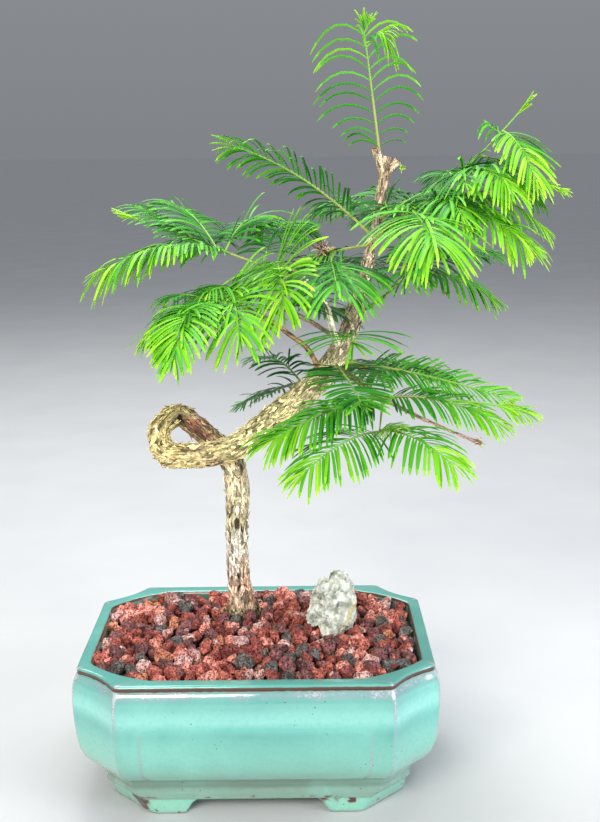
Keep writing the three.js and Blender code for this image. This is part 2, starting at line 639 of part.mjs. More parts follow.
// Needles grow in pairs along a shoot, from where it stops being bare
function pairPlaces(shoot) {
  const { bare = 0.08, stop = 1 } = shoot;
  const pairs = Math.round((shoot.long * (stop - bare)) / needle.pitch);
  return Array.from({ length: pairs }, (_, i) => mix(bare, stop - 0.03, (i + 0.5) / pairs));
}

// The directions at a place on a shoot: along it, up, and across to its right
function frameAt(shoot, curve, t) {
  const along = curve.getTangent(t);
  const up = UP.clone().addScaledVector(along, -along.z).normalize();
  up.applyAxisAngle(along, THREE.MathUtils.degToRad(shoot.roll ?? 0));
  return { at: curve.getPoint(t), along, up, across: along.clone().cross(up) };
}

const twigRadius = (shoot, t) => mix(shoot.on ? twig.root * 0.85 : twig.root, twig.tip, t);

// How long the needles are at a place, as a share of the longest
function fullnessAt(shoot, t) {
  const [root, middle, tip] = shoot.full ?? [0.8, 1, 0.66];
  return t < 0.45 ? mix(root, middle, t / 0.45) : mix(middle, tip, (t - 0.45) / 0.55);
}

// A needle's middle line: out from the shoot, then bent down; side is 1, -1 or 0 for the last
function needleLine(shoot, curve, t, side, random) {
  const { bend = 0.5, tuft = 1, uneven = 0, vee = 0 } = shoot;
  const { at: root, along, up, across } = frameAt(shoot, curve, t);
  const leanEased = mix(shoot.lean ?? 72, shoot.end ?? 30, t ** 2) + (random() - 0.5) * 10;
  const lean = side ? THREE.MathUtils.degToRad(leanEased) : 0;
  const share = side ? fullnessAt(shoot, t) : 0.5 * tuft;
  const fullness = share * (1 + side * uneven);
  const length = shoot.needle * fullness * mix(0.92, 1.08, random());
  const lift = 0.2 + vee * (1 - t) ** 2 + (random() - 0.5) * 0.2;
  const hang = shoot.hang * (side ? mix(0.7, 1.1, t) : 0.4);
  const out = along.clone().multiplyScalar(Math.cos(lean));
  out.addScaledVector(across, side * Math.sin(lean)).addScaledVector(up, side ? lift : 0);
  out.normalize().addScaledVector(UP, -0.45 * (1 - bend) * hang).normalize();
  const middle = root.clone().addScaledVector(out, 0.5).addScaledVector(UP, -0.08 * bend * hang);
  const tip = root.clone().addScaledVector(out, 0.94);
  tip.addScaledVector(UP, -(0.1 + 0.45 * bend) * hang);
  const whole = middle.distanceTo(root) + tip.distanceTo(middle);
  middle.sub(root).multiplyScalar(length / whole).add(root);
  tip.sub(root).multiplyScalar(length / whole).add(root);
  return { root, middle, tip, up, lines: [new THREE.Line3(root, middle), new THREE.Line3(middle, tip)] };
}

// The ridge and the two edges at a needle's middle
function needleSection({ root, tip, middle, up }, back) {
  const along = tip.clone().sub(root).normalize();
  const across = along.clone().cross(up).normalize();
  if (across.dot(back) < 0) across.negate();
  const top = across.clone().cross(along).normalize();
  if (top.dot(up) < 0) top.negate();
  const ridge = middle.clone().addScaledVector(top, 0.7 * needle.thick);
  const edge = (sideways) =>
    middle
      .clone()
      .addScaledVector(across, (sideways * needle.width) / 2)
      .addScaledVector(top, -0.3 * needle.thick);
  return { ridge, backEdge: edge(1), frontEdge: edge(-1) };
}

// What needles keep clear of, as lines with a radius and an owner
const taken = [];

function take(lines, r, owner) {
  lines.forEach((line) => taken.push({ line, r, owner }));
}

function takeStations(stations, owner) {
  for (let i = 0; i + 1 < stations.length; i++) {
    take([new THREE.Line3(stations[i].at, stations[i + 1].at)], stations[i].r, owner);
  }
}

function takeTwig(shoot, curve, owner) {
  const stations = [0, 0.2, 0.4, 0.6, 0.8, 1].map((t) => ({
    at: curve.getPoint(t),
    r: twigRadius(shoot, t),
  }));
  takeStations(stations, owner);
}

function isFree(line, r, owner) {
  return !taken.some(
    (other) => other.owner !== owner && line.distanceSqToLine3(other.line) < (other.r + r) ** 2,
  );
}

// A spray as one closed mesh: a three-sided twig whose upper faces run out into needles in
// pairs, and which ends in one more needle
function spray(owner, shoot, curve, random) {
  const positions = [];
  const index = [];
  const point = (p) => positions.push(p.x, p.y, p.z) / 3 - 1;
  const ringAt = (t) => {
    const { at, up, across } = frameAt(shoot, curve, t);
    const r = twigRadius(shoot, t);
    return [0, 1, 2].map((corner) => {
      const turn = (corner * 2 * Math.PI) / 3;
      const outward = across.clone().multiplyScalar(Math.sin(turn));
      return point(at.clone().addScaledVector(outward.addScaledVector(up, Math.cos(turn)), r));
    });
  };
  const face = (a, b, c, d) => index.push(a, b, c, a, c, d);
  const tube = (last, next, sides) => {
    for (const k of sides) face(last[k], last[(k + 1) % 3], next[(k + 1) % 3], next[k]);
  };
  const places = pairPlaces(shoot);
  const half = (0.38 * needle.width) / shoot.long;
  const bareShare = places.length ? places[0] : 1;
  const steps = Math.max(1, Math.round((bareShare * shoot.long) / twig.step));
  let last = ringAt(0);
  index.push(last[0], last[2], last[1]);
  for (let i = 1; i < steps; i++) {
    const next = ringAt((bareShare * i) / steps);
    tube(last, next, [0, 1, 2]);
    last = next;
  }
  for (const t of places) {
    const back = ringAt(t - half);
    const front = ringAt(t + half);
    tube(last, back, [0, 1, 2]);
    tube(back, front, [1]);
    const pair = [1, -1].map((side) => needleLine(shoot, curve, t, side, random));
    const free = pair.map(({ lines }) =>
      lines.every((line) => isFree(line, needle.width / 2 + clear, owner)),
    );
    pair.forEach((made, i) => {
      const side = i === 0 ? 0 : 2;
      if (!free[i]) return tube(back, front, [side]);
      take(made.lines, needle.width / 2, "needle");
      const section = needleSection(made, frameAt(shoot, curve, t).along.negate());
      const [r, b, f, tip] = [section.ridge, section.backEdge, section.frontEdge, made.tip].map(point);
      const [topBack, topFront] = [back[0], front[0]];
      const [lowBack, lowFront] = i === 0 ? [back[1], front[1]] : [back[2], front[2]];
      const fold = (p, q, u) => (i === 0 ? index.push(p, q, u) : index.push(q, p, u));
      fold(topBack, lowBack, b);
      fold(topBack, b, r);
      fold(lowBack, lowFront, f);
      fold(lowBack, f, b);
      fold(lowFront, topFront, r);
      fold(lowFront, r, f);
      fold(topFront, topBack, r);
      fold(b, f, tip);
      fold(f, r, tip);
      fold(r, b, tip);
    });
    last = front;
  }
  const final = ringAt(1);
  tube(last, final, [0, 1, 2]);
  const end = needleLine(shoot, curve, 1, 0, random);
  const { across } = frameAt(shoot, curve, 1);
  const section = needleSection(end, across);
  const blunt = [section.ridge, section.backEdge, section.frontEdge].map(point);
  tube(final, blunt, [0, 1, 2]);
  const tip = point(end.tip);
  for (let k = 0; k < 3; k++) index.push(blunt[k], blunt[(k + 1) % 3], tip);
  return meshOf(positions, index);
}

function makeMass(name, family, seed, limbs) {
  const random = seeded(seed);
  const curves = curvesOf(family);
  const sprays = Object.entries(family).map(([label, shoot]) =>
    spray(name + label, shoot, curves[label], random),
  );
  return largest(join(sprays).subtract(limbs));
}

// The parts and their finishes
const group = new THREE.Group();
const plant = new THREE.Group();
group.add(plant);

function finish(color, roughness, metalness = 0) {
  return new THREE.MeshStandardMaterial({ color, roughness, metalness, flatShading: true });
}

const finishes = {
  glaze: finish(0x7fcfba, 0.2),
  gravel: finish(0x96504a, 0.9),
  stone: finish(0xc9ccc0, 0.85),
  bark: finish(0xa88a5e, 0.9),
  twig: finish(0xa97f52, 0.85),
  foliage: finish(0x4fb52c, 0.6),
};

function place(name, solid, material) {
  const mesh = new THREE.Mesh(geometryFrom(solid), material);
  mesh.name = name;
  plant.add(mesh);
}

place("pot", makePot(), finishes.glaze);
place("gravel", makeGravel(), finishes.gravel);
place("stone", makeStone(), finishes.stone);

const trunkSpace = makeTrunk(clear);
place("trunk", makeTrunk(0), finishes.bark);

const limbSpaces = [trunkSpace];
takeStations(trunkStations, "trunk");
for (const name of Object.keys(boughMarks)) {
  const bough = makeBough(name, 0).subtract(join(limbSpaces));
  place(name, largest(bough), finishes.twig);
  limbSpaces.push(makeBough(name, clear));
  takeStations(boughStations[name], name);
}
const limbSpace = join(limbSpaces);

for (const [name, family] of Object.entries(masses)) {
  const curves = curvesOf(family);
  for (const [label, shoot] of Object.entries(family)) takeTwig(shoot, curves[label], name + label);
}
Object.entries(masses).forEach(([name, family], i) => {
  place(name, makeMass(name, family, 100 + i, limbSpace), finishes.foliage);
});

// The origin goes to the middle of the footprint of everything
const whole = new THREE.Box3().setFromObject(plant);
plant.position.set(-(whole.min.x + whole.max.x) / 2, -(whole.min.y + whole.max.y) / 2, -whole.min.z);

export default group;
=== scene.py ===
"""The looks of a dawn redwood bonsai in its glazed pot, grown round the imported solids.

Lengths are millimetres from the middle of the pot, x to the right, y away and z up from the
ground under its feet, unless a name says otherwise. build() turns them into the frame's metres.
"""
import itertools
import math
import random

import bmesh
import bpy
import numpy as np
from mathutils import Matrix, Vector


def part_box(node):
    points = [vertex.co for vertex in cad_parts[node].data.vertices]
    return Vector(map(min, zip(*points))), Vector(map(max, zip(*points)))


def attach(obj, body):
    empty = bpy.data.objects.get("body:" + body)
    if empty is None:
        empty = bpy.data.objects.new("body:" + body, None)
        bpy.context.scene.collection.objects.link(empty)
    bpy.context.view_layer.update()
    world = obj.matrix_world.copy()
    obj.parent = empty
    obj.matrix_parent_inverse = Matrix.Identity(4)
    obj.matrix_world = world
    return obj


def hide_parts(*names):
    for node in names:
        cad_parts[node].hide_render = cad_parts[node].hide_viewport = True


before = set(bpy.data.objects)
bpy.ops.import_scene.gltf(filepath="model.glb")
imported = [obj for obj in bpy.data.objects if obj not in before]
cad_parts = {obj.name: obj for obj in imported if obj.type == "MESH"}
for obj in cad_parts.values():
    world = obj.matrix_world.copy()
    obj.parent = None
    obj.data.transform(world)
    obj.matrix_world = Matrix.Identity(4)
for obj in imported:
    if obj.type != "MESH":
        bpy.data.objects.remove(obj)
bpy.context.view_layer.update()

MM = 0.001
RIGHT, AWAY, UP = np.eye(3)
pot_low, pot_high = (np.array(corner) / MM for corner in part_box("pot"))
POT_MIDDLE = np.array([*((pot_low + pot_high)[:2] / 2), 0.0])
# What each random generator starts from. Boughs, masses and rock shapes count up from theirs.
SEEDS = dict(gravel=21, rocks=500, stone=17, trunk=3, stubs=5, peel=8, boughs=40, bough_tints=90,
             foliage=100, scales=77)


# Numbers and vectors
def mix(a, b, share):
    return a + (b - a) * share


def unit(v):
    return v / np.linalg.norm(v, axis=-1, keepdims=True)


def eased(value, low, high):
    """0 below low, 1 above high and a smooth rise between them."""
    share = np.clip((value - low) / (high - low), 0, 1)
    return share * share * (3 - 2 * share)


def bell(value, middle, width):
    """1 where a value is at the middle, and falling to 0 on both sides of it."""
    return np.exp(-(((value - middle) / width) ** 2))


def turned(a, b, angle):
    """a turned towards b, which is square to it, by an angle."""
    return a * np.cos(angle) + b * np.sin(angle)


def curve(a, b, c, t):
    """The place and the direction at t on the curve from a to c that b draws to itself."""
    return a * (1 - t) ** 2 + b * 2 * t * (1 - t) + c * t**2, unit((b - a) * (1 - t) + (c - b) * t)


def colour(text):
    """A colour as shown on a screen, six hex digits, as linear light with an alpha."""
    shown = [int(text[i : i + 2], 16) / 255 for i in (0, 2, 4)]
    return (*(c / 12.92 if c < 0.04045 else ((c + 0.055) / 1.055) ** 2.4 for c in shown), 1.0)


# Seeded patterns over points
def scattered(lattice, seed):
    """A steady number from 0 to 1 for each row of whole numbers."""
    cell = (lattice.astype(np.int64) + 100_000).astype(np.uint64)
    word = cell[..., 0] * np.uint64(73856093)
    word ^= cell[..., 1] * np.uint64(19349663)
    word ^= cell[..., 2] * np.uint64(83492791)
    word = (word + np.uint64(seed * 7919)) * np.uint64(0x9E3779B97F4A7C15)
    word ^= word >> np.uint64(29)
    word *= np.uint64(0xBF58476D1CE4E5B9)
    word ^= word >> np.uint64(32)
    return (word & np.uint64(0xFFFFFF)) / float(0xFFFFFF)


def noise(points, seed):
    """Smooth noise from -1 to 1 at each row of points."""
    cell = np.floor(points)
    part = points - cell
    ease = part * part * (3 - 2 * part)
    total = np.zeros(points.shape[:-1])
    for corner in itertools.product((0, 1), repeat=3):
        weight = np.prod(np.where(corner, ease, 1 - ease), axis=-1)
        total += weight * (2 * scattered(cell + corner, seed) - 1)
    return total


def rough_noise(points, seed):
    return sum(noise(points * 2**i, seed + i) / 2**i for i in range(3))


def noise_vectors(points, seed):
    return np.stack([noise(points, seed + k) for k in range(3)], -1)


def cells(points, seed):
    """How far each point is from the border of its irregular cell, the cell's own number, and how
    far the point is past the cell's seat along the third axis."""
    base = np.floor(points)
    nearest = np.full(points.shape[:-1], 9.0)
    second = nearest.copy()
    own = np.zeros(points.shape[:-1])
    past = np.zeros(points.shape[:-1])
    for offset in itertools.product((-1, 0, 1), repeat=3):
        lattice = base + offset
        seat = lattice + np.stack([scattered(lattice, seed + k) for k in range(3)], -1)
        away = np.linalg.norm(points - seat, axis=-1)
        closer = away < nearest
        second = np.where(closer, nearest, np.minimum(second, away))
        own = np.where(closer, scattered(lattice, seed + 3), own)
        past = np.where(closer, (points - seat)[..., 2], past)
        nearest = np.minimum(nearest, away)
    return second - nearest, own, past


# Meshes
def build(name, points, faces, materials, nodes=(), shades=None, values=None, crease=40):
    """A piece from points in millimetres. values are named numbers or colours, one per point."""
    mesh = bpy.data.meshes.new(name)
    rows = [row for block in faces for row in np.asarray(block).tolist()]
    mesh.from_pydata(((np.asarray(points) + POT_MIDDLE) * MM).tolist(), [], rows)
    for material in materials:
        mesh.materials.append(material)
    if shades is not None:
        mesh.polygons.foreach_set("material_index", np.asarray(shades, np.int32))
    for label, numbers in (values or {}).items():
        numbers = np.asarray(numbers, np.float32)
        if numbers.ndim == 1:
            layer = mesh.attributes.new(label, "FLOAT", "POINT")
            layer.data.foreach_set("value", numbers)
        else:
            layer = mesh.color_attributes.new(label, "FLOAT_COLOR", "POINT")
            layer.data.foreach_set("color", numbers.ravel())
    mesh.shade_smooth()
    mesh.set_sharp_from_angle(angle=math.radians(crease))
    mesh.validate()
    piece = bpy.data.objects.new(name, mesh)
    bpy.context.scene.collection.objects.link(piece)
    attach(piece, "root")
    if nodes:
        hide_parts(*nodes)


def closed_tube(rows, columns):
    """Quads of a tube of that many rings, each with that many points, and its two flat ends."""
    i, k = np.meshgrid(np.arange(rows - 1), np.arange(columns), indexing="ij")
    a = i * columns + k
    b = i * columns + (k + 1) % columns
    ring = np.arange(columns)[None]
    quads = np.stack([a, b, b + columns, a + columns], -1).reshape(-1, 4)
    return [quads, ring[:, ::-1], ring + (rows - 1) * columns]


def strip_faces(count, rows):
    """Faces of that many closed strips, each with that many rings of four points."""
    one = np.vstack(closed_tube(rows, 4))
    return (one[None] + np.arange(count)[:, None, None] * rows * 4).reshape(-1, 4)


def frames_along(path):
    """The direction of a path at each of its points, and two directions across it, untwisted."""
    ahead = unit(np.gradient(path, axis=0))
    side = AWAY
    sides = []
    for along in ahead:
        side = unit(side - along * (side @ along))
        sides.append(side)
    sides = np.array(sides)
    return ahead, sides, np.cross(ahead, sides)


def rings_round(line, side, other, turn, radius):
    """Rings of points round the places of a line, by angles and radii."""
    return line[:, None] + turned(side[:, None], other[:, None], turn[..., None]) * radius[..., None]


def threaded(marks, step):
    """Places and radii, step apart, on the curve that runs smoothly through (x, y, z, radius)."""
    marks = np.array(marks, float)
    p = np.vstack([2 * marks[0] - marks[1], marks, 2 * marks[-1] - marks[-2]])[:, :3]
    fine = []
    for i in range(len(marks) - 1):
        d0, d1, d2 = (np.linalg.norm(p[i + k + 1] - p[i + k]) ** 0.5 for k in range(3))
        a, b, c, d = p[i : i + 4]
        leave = ((b - a) / d0 - (c - a) / (d0 + d1) + (c - b) / d1) * d1
        arrive = ((c - b) / d1 - (d - b) / (d1 + d2) + (d - c) / d2) * d1
        for t in np.linspace(0, 1, 24, endpoint=i == len(marks) - 2):
            at = b + leave * t
            at = at + (3 * (c - b) - 2 * leave - arrive) * t**2
            at = at + (2 * (b - c) + leave + arrive) * t**3
            fine.append([*at, mix(marks[i][3], marks[i + 1][3], t)])
    fine = np.array(fine)
    lengths = np.linalg.norm(np.diff(fine[:, :3], axis=0), axis=1)
    arc = np.concatenate([[0], np.cumsum(lengths)])
    even = np.linspace(0, arc[-1], max(4, round(arc[-1] / step) + 1))
    return np.stack([np.interp(even, arc, fine[:, k]) for k in range(4)], 1), even


# Materials
class Shader:
    """A material whose nodes are added and linked in few words."""

    def __init__(self, name, **sockets):
        self.material = bpy.data.materials.new(name)
        self.material.use_nodes = True
        self.tree = self.material.node_tree
        self.base = self.tree.nodes["Principled BSDF"]
        for socket, value in sockets.items():
            self.base.inputs[socket.replace("_", " ")].default_value = value

    def node(self, kind, inputs, **settings):
        made = self.tree.nodes.new("ShaderNode" + kind)
        for key, value in settings.items():
            setattr(made, key, value)
        for socket, value in inputs.items():
            self.give(made.inputs[socket], value)
        return made

    def give(self, socket, value):
        if isinstance(value, bpy.types.NodeSocket):
            self.tree.links.new(value, socket)
        else:
            socket.default_value = value

    def pattern(self, kind, output, **inputs):
        """A pattern over the places on the object, which are in metres."""
        at = self.node("TexCoord", {}).outputs["Object"]
        return self.node(kind, {"Vector": at, **inputs}).outputs[output]

    def noise(self, scale, detail, distortion=0.0):
        return self.pattern("TexNoise", "Fac", Scale=scale, Detail=detail, Distortion=distortion)

    def voronoi(self, scale):
        return self.pattern("TexVoronoi", "Distance", Scale=scale)

    def value(self, name):
        """A number, a colour or a place that each point of the mesh carries."""
        node = self.node("Attribute", {}, attribute_name=name)
        return node.outputs[{"tint": "Color", "fibre": "Vector"}.get(name, "Fac")]

    def ramp(self, value, low, high, start=0.0, end=1.0):
        inputs = {"Value": value, "From Min": low, "From Max": high, "To Min": start, "To Max": end}
        return self.node("MapRange", inputs).outputs["Result"]

    def sum(self, a, b, share):
        """a plus b times share."""
        node = self.node("Math", {0: b, 1: share, 2: a}, operation="MULTIPLY_ADD")
        return node.outputs[0]

    def mixed(self, share, a, b, blend="MIX"):
        node = self.node("Mix", {0: share, 6: a, 7: b}, data_type="RGBA", blend_type=blend)
        return node.outputs[2]

    def cover(self, base, shown, value, low, high, most=1.0):
        """base with a colour laid over it where a value rises from low to high."""
        return self.mixed(self.ramp(value, low, high, 0, most), base, colour(shown))

    def bump(self, height, depth, strength=1):
        """Relief of that depth in millimetres on the finished surface."""
        inputs = {"Height": height, "Distance": depth * MM, "Strength": strength}
        self.give(self.base.inputs["Normal"], self.node("Bump", inputs).outputs["Normal"])

    def finish(self, **sockets):
        for socket, value in sockets.items():
            self.give(self.base.inputs[socket.replace("_", " ")], value)
        return self.material


def glaze_material():
    """Thick glossy glaze over brown clay, mottled and speckled. It is grey and thin where it has
    run off an edge, and broken to brown clay where it is thinnest. Its whitish patches are thin glaze,
    and along the tops of the corner ridges also a painted highlight."""
    shader = Shader("celadon_glaze", Coat_Weight=0.7, Coat_Roughness=0.05, IOR=1.5)
    base = shader.cover(shader.value("tint"), "84cabb", shader.noise(22, 3, 0.5), 0.42, 0.72, 0.4)
    base = shader.cover(base, "4f9c90", shader.noise(420, 3), 0.45, 0.65, 0.14)
    grain = shader.noise(330, 4)
    base = shader.cover(base, "8b969c", shader.sum(shader.value("thin"), grain, 0.6), 0.45, 1.0, 0.8)
    # Whitish patches of thin glaze, which along the tops of the corner ridges are also a painted highlight
    bloom_and_highlight = shader.sum(shader.value("thin"), shader.noise(900, 3), 1.6)
    base = shader.cover(base, "d9e6e6", bloom_and_highlight, 1.4, 1.8, 0.4)
    worn = shader.sum(shader.value("bare"), grain, 0.55)
    base = shader.cover(base, "7d7466", worn, 0.5, 0.72, 0.8)
    edge = shader.ramp(worn, 0.7, 0.84)
    base = shader.mixed(edge, base, colour("4c2f20"))
    specks = shader.ramp(shader.voronoi(230), 0.06, 0.1, 1, 0)
    sparse = shader.ramp(shader.noise(70, 2), 0.52, 0.56)
    speck = shader.node("Math", {0: specks, 1: sparse}, operation="MULTIPLY").outputs[0]
    base = shader.mixed(speck, base, colour("3b4a44"))
    relief = shader.sum(shader.noise(34, 2), shader.noise(700, 2), 0.03)
    shader.bump(shader.sum(relief, edge, -0.12), 1.8, 0.55)
    return shader.finish(Base_Color=base, Roughness=shader.ramp(edge, 0, 1, 0.12, 0.42))


def bark_material(name, roughness=0.9):
    """Fibrous bark: the tint that each point carries, flecked, and painted dark as shade in the
    cracks and hollows.
    """
    shader = Shader(name, Specular_IOR_Level=0.3)
    streaks = shader.node("TexNoise", {"Vector": shader.value("fibre"), "Scale": 1, "Detail": 5})
    streaks = streaks.outputs["Fac"]
    fleck = shader.ramp(shader.sum(shader.noise(900, 4), streaks, 2.2), 1.32, 1.92, 0.3, 1.55)
    grey = shader.node("CombineColor", {0: fleck, 1: fleck, 2: fleck}).outputs[0]
    tint = shader.mixed(1.0, shader.value("tint"), grey, "MULTIPLY")
    tint = shader.cover(tint, "e3d3a2", shader.noise(230, 3), 0.52, 0.7, 0.18)
    tint = shader.cover(tint, "7d8a4c", shader.noise(170, 4), 0.56, 0.7, 0.22)
    # Painted shade: the cracks and hollows are laid nearly black
    tint = shader.cover(tint, "23150d", shader.value("shaded_crack"), 0.2, 0.9, 0.92)
    shader.bump(shader.sum(shader.noise(1500, 4), streaks, 1.2), 0.7)
    return shader.finish(Base_Color=tint, Roughness=roughness)


def lava_material(name, main, other):
    """Rough lava rock with small pits painted dark as the shade in them, and pale specks
    that are partly dust and partly painted highlights.
    """
    shader = Shader(name, Roughness=0.85)
    base = shader.cover(colour(main), other, shader.noise(260, 3), 0.35, 0.65)
    pits = shader.ramp(shader.voronoi(760), 0.16, 0.42)
    # Pale specks: partly dust, partly painted highlights
    dust_and_highlight = shader.ramp(shader.noise(700, 4), 0.46, 0.66)
    base = shader.mixed(dust_and_highlight, base, (2.05, 2.15, 2.15, 1), "MULTIPLY")
    # Painted shade: the pits are laid nearly black
    base = shader.mixed(shader.ramp(pits, 0, 1, 0.85, 0), base, colour("1d0e0c"))
    shader.bump(shader.sum(pits, shader.noise(1300, 3), 0.6), 1.3)
    return shader.finish(Base_Color=base)


def stone_material():
    """Pale weathered stone with cream bands low on its right side, and grey painted shade in its
    creases and pits.
    """
    shader = Shader("pale_stone", Roughness=0.9)
    base = shader.cover(colour("9fa698"), "f6faf0", shader.noise(210, 6), 0.38, 0.58)
    base = shader.cover(base, "d3c896", shader.value("band"), 0.3, 0.7, 0.8)
    base = shader.cover(base, "9a9a90", shader.value("band"), -0.2, -0.6, 0.6)
    # Painted shade in the creases between the ridges and in the pits
    base = shader.cover(base, "595a4d", shader.value("shaded_crack"), 0.2, 0.9, 0.85)
    base = shader.cover(base, "54564a", shader.noise(1000, 3), 0.62, 0.72, 0.4)
    shader.bump(shader.sum(shader.noise(420, 6), shader.noise(1400, 4), 0.6), 2.2)
    return shader.finish(Base_Color=base)


def leaf_material(name, shown):
    """Soft waxy green that lets a little light through, plain because it is dealt out by needle."""
    shader = Shader(name, Roughness=0.48, Specular_IOR_Level=0.28, Subsurface_Weight=0.1,
                    Subsurface_Scale=0.5 * MM, Subsurface_Radius=(0.6, 1.0, 0.2))
    return shader.finish(Base_Color=colour(shown))


def plain_material(name, shown, roughness=0.8):
    return Shader(name, Roughness=roughness).finish(Base_Color=colour(shown))


# The camera of the photograph, from the pot's corners
PHOTO_HEIGHT = 822  # pixels
FOCAL = 1200  # pixels
PITCH, ROLL = 0.218, -0.0105  # radians
CAMERA_AT = np.array([26.5, -681.5, 373.3])
SENSOR = 36

# The studio. Each lamp has a place and the height that it aims at, in metres from the pot's middle,
# a size in metres, a power in watts and a colour.
LAMPS = {
    "key": ((-0.55, -1.4, 1.0), 0.2, (0.9, 0.5), 30.5, "fff9f0"),
    "fill": ((1.2, -0.8, 0.7), 0.2, (0.8, 0.9), 18, "f2f6ff"),
    "top": ((0.1, 0.3, 1.5), 0.25, (0.9, 0.7), 17, "ffffff"),
    "back": ((-0.5, 1.0, 1.4), 0.25, (0.9, 0.6), 9, "ffffff"),
}
FLOOR_REACH = 40  # metres
HORIZON, ZENITH = (0.22, 0.23, 0.245, 1), (0.46, 0.48, 0.51, 1)


def set_up(name, data, axes, at):
    """Puts a camera or a lamp at a place in metres, with its right, up and back along the axes."""
    thing = bpy.data.objects.new(name, data)
    turn = Matrix(np.stack(axes, 1).tolist()).to_4x4()
    thing.matrix_world = Matrix.Translation((np.array(at) + POT_MIDDLE * MM).tolist()) @ turn
    bpy.context.scene.collection.objects.link(thing)
    return thing


def make_camera():
    data = bpy.data.cameras.new("camera")
    data.sensor_width = SENSOR
    data.lens = SENSOR * FOCAL / PHOTO_HEIGHT
    up, back = turned(UP, AWAY, PITCH), turned(-AWAY, UP, PITCH)
    axes = [turned(RIGHT, up, ROLL), turned(up, -RIGHT, ROLL), back]
    camera = set_up("camera", data, axes, CAMERA_AT * MM)
    bpy.context.scene.camera = camera


def make_lamp(name, at, aim_height, size, watts, shown):
    data = bpy.data.lights.new(name, "AREA")
    data.shape = "RECTANGLE"
    data.size, data.size_y = size
    data.energy = watts
    data.color = colour(shown)[:3]
    back = unit(np.array(at, float) - (0, 0, aim_height))
    right = unit(np.cross(UP, back))
    set_up(name, data, [right, np.cross(back, right), back], at)


def make_studio():
    reach = FLOOR_REACH
    corners = [(-reach, -reach, 0), (reach, -reach, 0), (reach, reach, 0), (-reach, reach, 0)]
    floor = bpy.data.meshes.new("floor")
    floor.from_pydata(corners, [], [(0, 1, 2, 3)])
    shader = Shader("floor", Roughness=0.75)
    paint = shader.cover(colour("b9bbbd"), "bfc1c2", shader.noise(9, 3), 0.3, 0.7)
    floor.materials.append(shader.finish(Base_Color=paint))
    plane = bpy.data.objects.new("floor", floor)
    bpy.context.scene.collection.objects.link(plane)
    make_sky()
    for name, lamp in LAMPS.items():
        make_lamp(name, *lamp)
    bpy.context.scene.view_settings.view_transform = "Standard"


def make_sky():
    """Grey at the horizon, so that the floor runs into it, and lighter overhead."""
    world = bpy.data.worlds.new("studio")
    world.use_nodes = True
    tree = world.node_tree
    kinds = ("TexCoord", "SeparateXYZ", "Mix")
    toward, split, blend = (tree.nodes.new("ShaderNode" + kind) for kind in kinds)
    tree.links.new(toward.outputs["Generated"], split.inputs[0])
    blend.data_type = "RGBA"
    tree.links.new(split.outputs["Z"], blend.inputs[0])
    blend.inputs[6].default_value = HORIZON
    blend.inputs[7].default_value = ZENITH
    tree.links.new(blend.outputs[2], tree.nodes["Background"].inputs["Color"])
    bpy.context.scene.world = world


# The pot. x and y are half its width and half its depth.
POT = dict(x=101.5, y=76, height=86, corner=25.5, scoop=2.8, floor=20)
MOUTH = dict(x=95, y=67.5, cut_x=36, cut_y=24, bulge=3)
FOOT = dict(inset=15.5, thick=10, front=36, side=26, splay=6, points=14, colour="86c2ac")
# A foot's rings: how far in from its inset, over its thickness, how far its ends slant, and height
FOOT_RINGS = [(1.5, -3, 5, 0), (0.9, -1.8, 5, 0.25), (0.4, -0.8, 4.7, 0.9), (0, 0, 4, 2.5),
              (-0.3, 0.4, 2.4, 5), (-0.5, 1, 0.5, 7.6), (-0.7, 1.2, -2.5, 9.6), (-1.4, 2, -6, 11.4)]
PANEL = dict(half_width=63.6, half_depth=39, low=27, high=62, round=8, raised=0.9)
RING_STEP, PROFILE_STEP = 1.6, 0.8  # between the points round the pot, and up its belly
# Outlines as (push out from the rim, height): the band over the feet, the belly and the lip
FOOT_BAND = [(-15, 10), (-14.4, 10), (-13.9, 10.4), (-13.7, 11.5), (-13.3, 13)]
BELLY = [(-13, 15), (-13.6, 17.5), (-11.9, 21), (-11, 23.5), (-8, 25.2), (-4.4, 28.2), (-1, 33),
         (1.3, 40), (2.5, 49), (3.2, 60), (3.3, 70), (2.6, 77), (0.8, 81.6), (-0.5, 83.1)]
LIP = [(-0.2, 83.4), (0.0, 83.9), (0.1, 84.6), (0.1, 85.2), (-0.2, 85.8), (-0.8, 86.1), (-1.6, 86.2)]
# The inside as (push out from the mouth, height)
INSIDE = [(1.2, 86.2), (0.5, 86.1), (-0.1, 85.7), (-0.5, 85.1), (-1, 83.5), (-1.4, 60), (-3, 40),
          (-12, 24), (-16, 20)]
# The glaze's colours up the outside, by height. The pale band at 66 and 70 mm is a painted
# reflection of the ground in front of the pot, mirrored across the belly.
GLAZE_AND_REFLECTION_ZONES = [("80b2a2", 0), ("93b8a6", 12), ("7f9f8a", 17.5), ("86a892", 23), ("8bbfac", 28),
               ("80c2b2", 40), ("76bdb0", 50), ("62aea4", 58), ("6ab7ad", 61), ("8cd2c9", 66),
               ("84cbc2", 70), ("70b6ad", 74), ("6cada8", 80), ("58a399", 84), ("549f95", 90)]
# The inner wall's glaze, darkened as painted shade inside the pot
INSIDE_SHADED_GLAZE = "4f7a70"
SHRINK = 2 - math.sqrt(2)  # what a 45 degree cut loses as its outline moves in


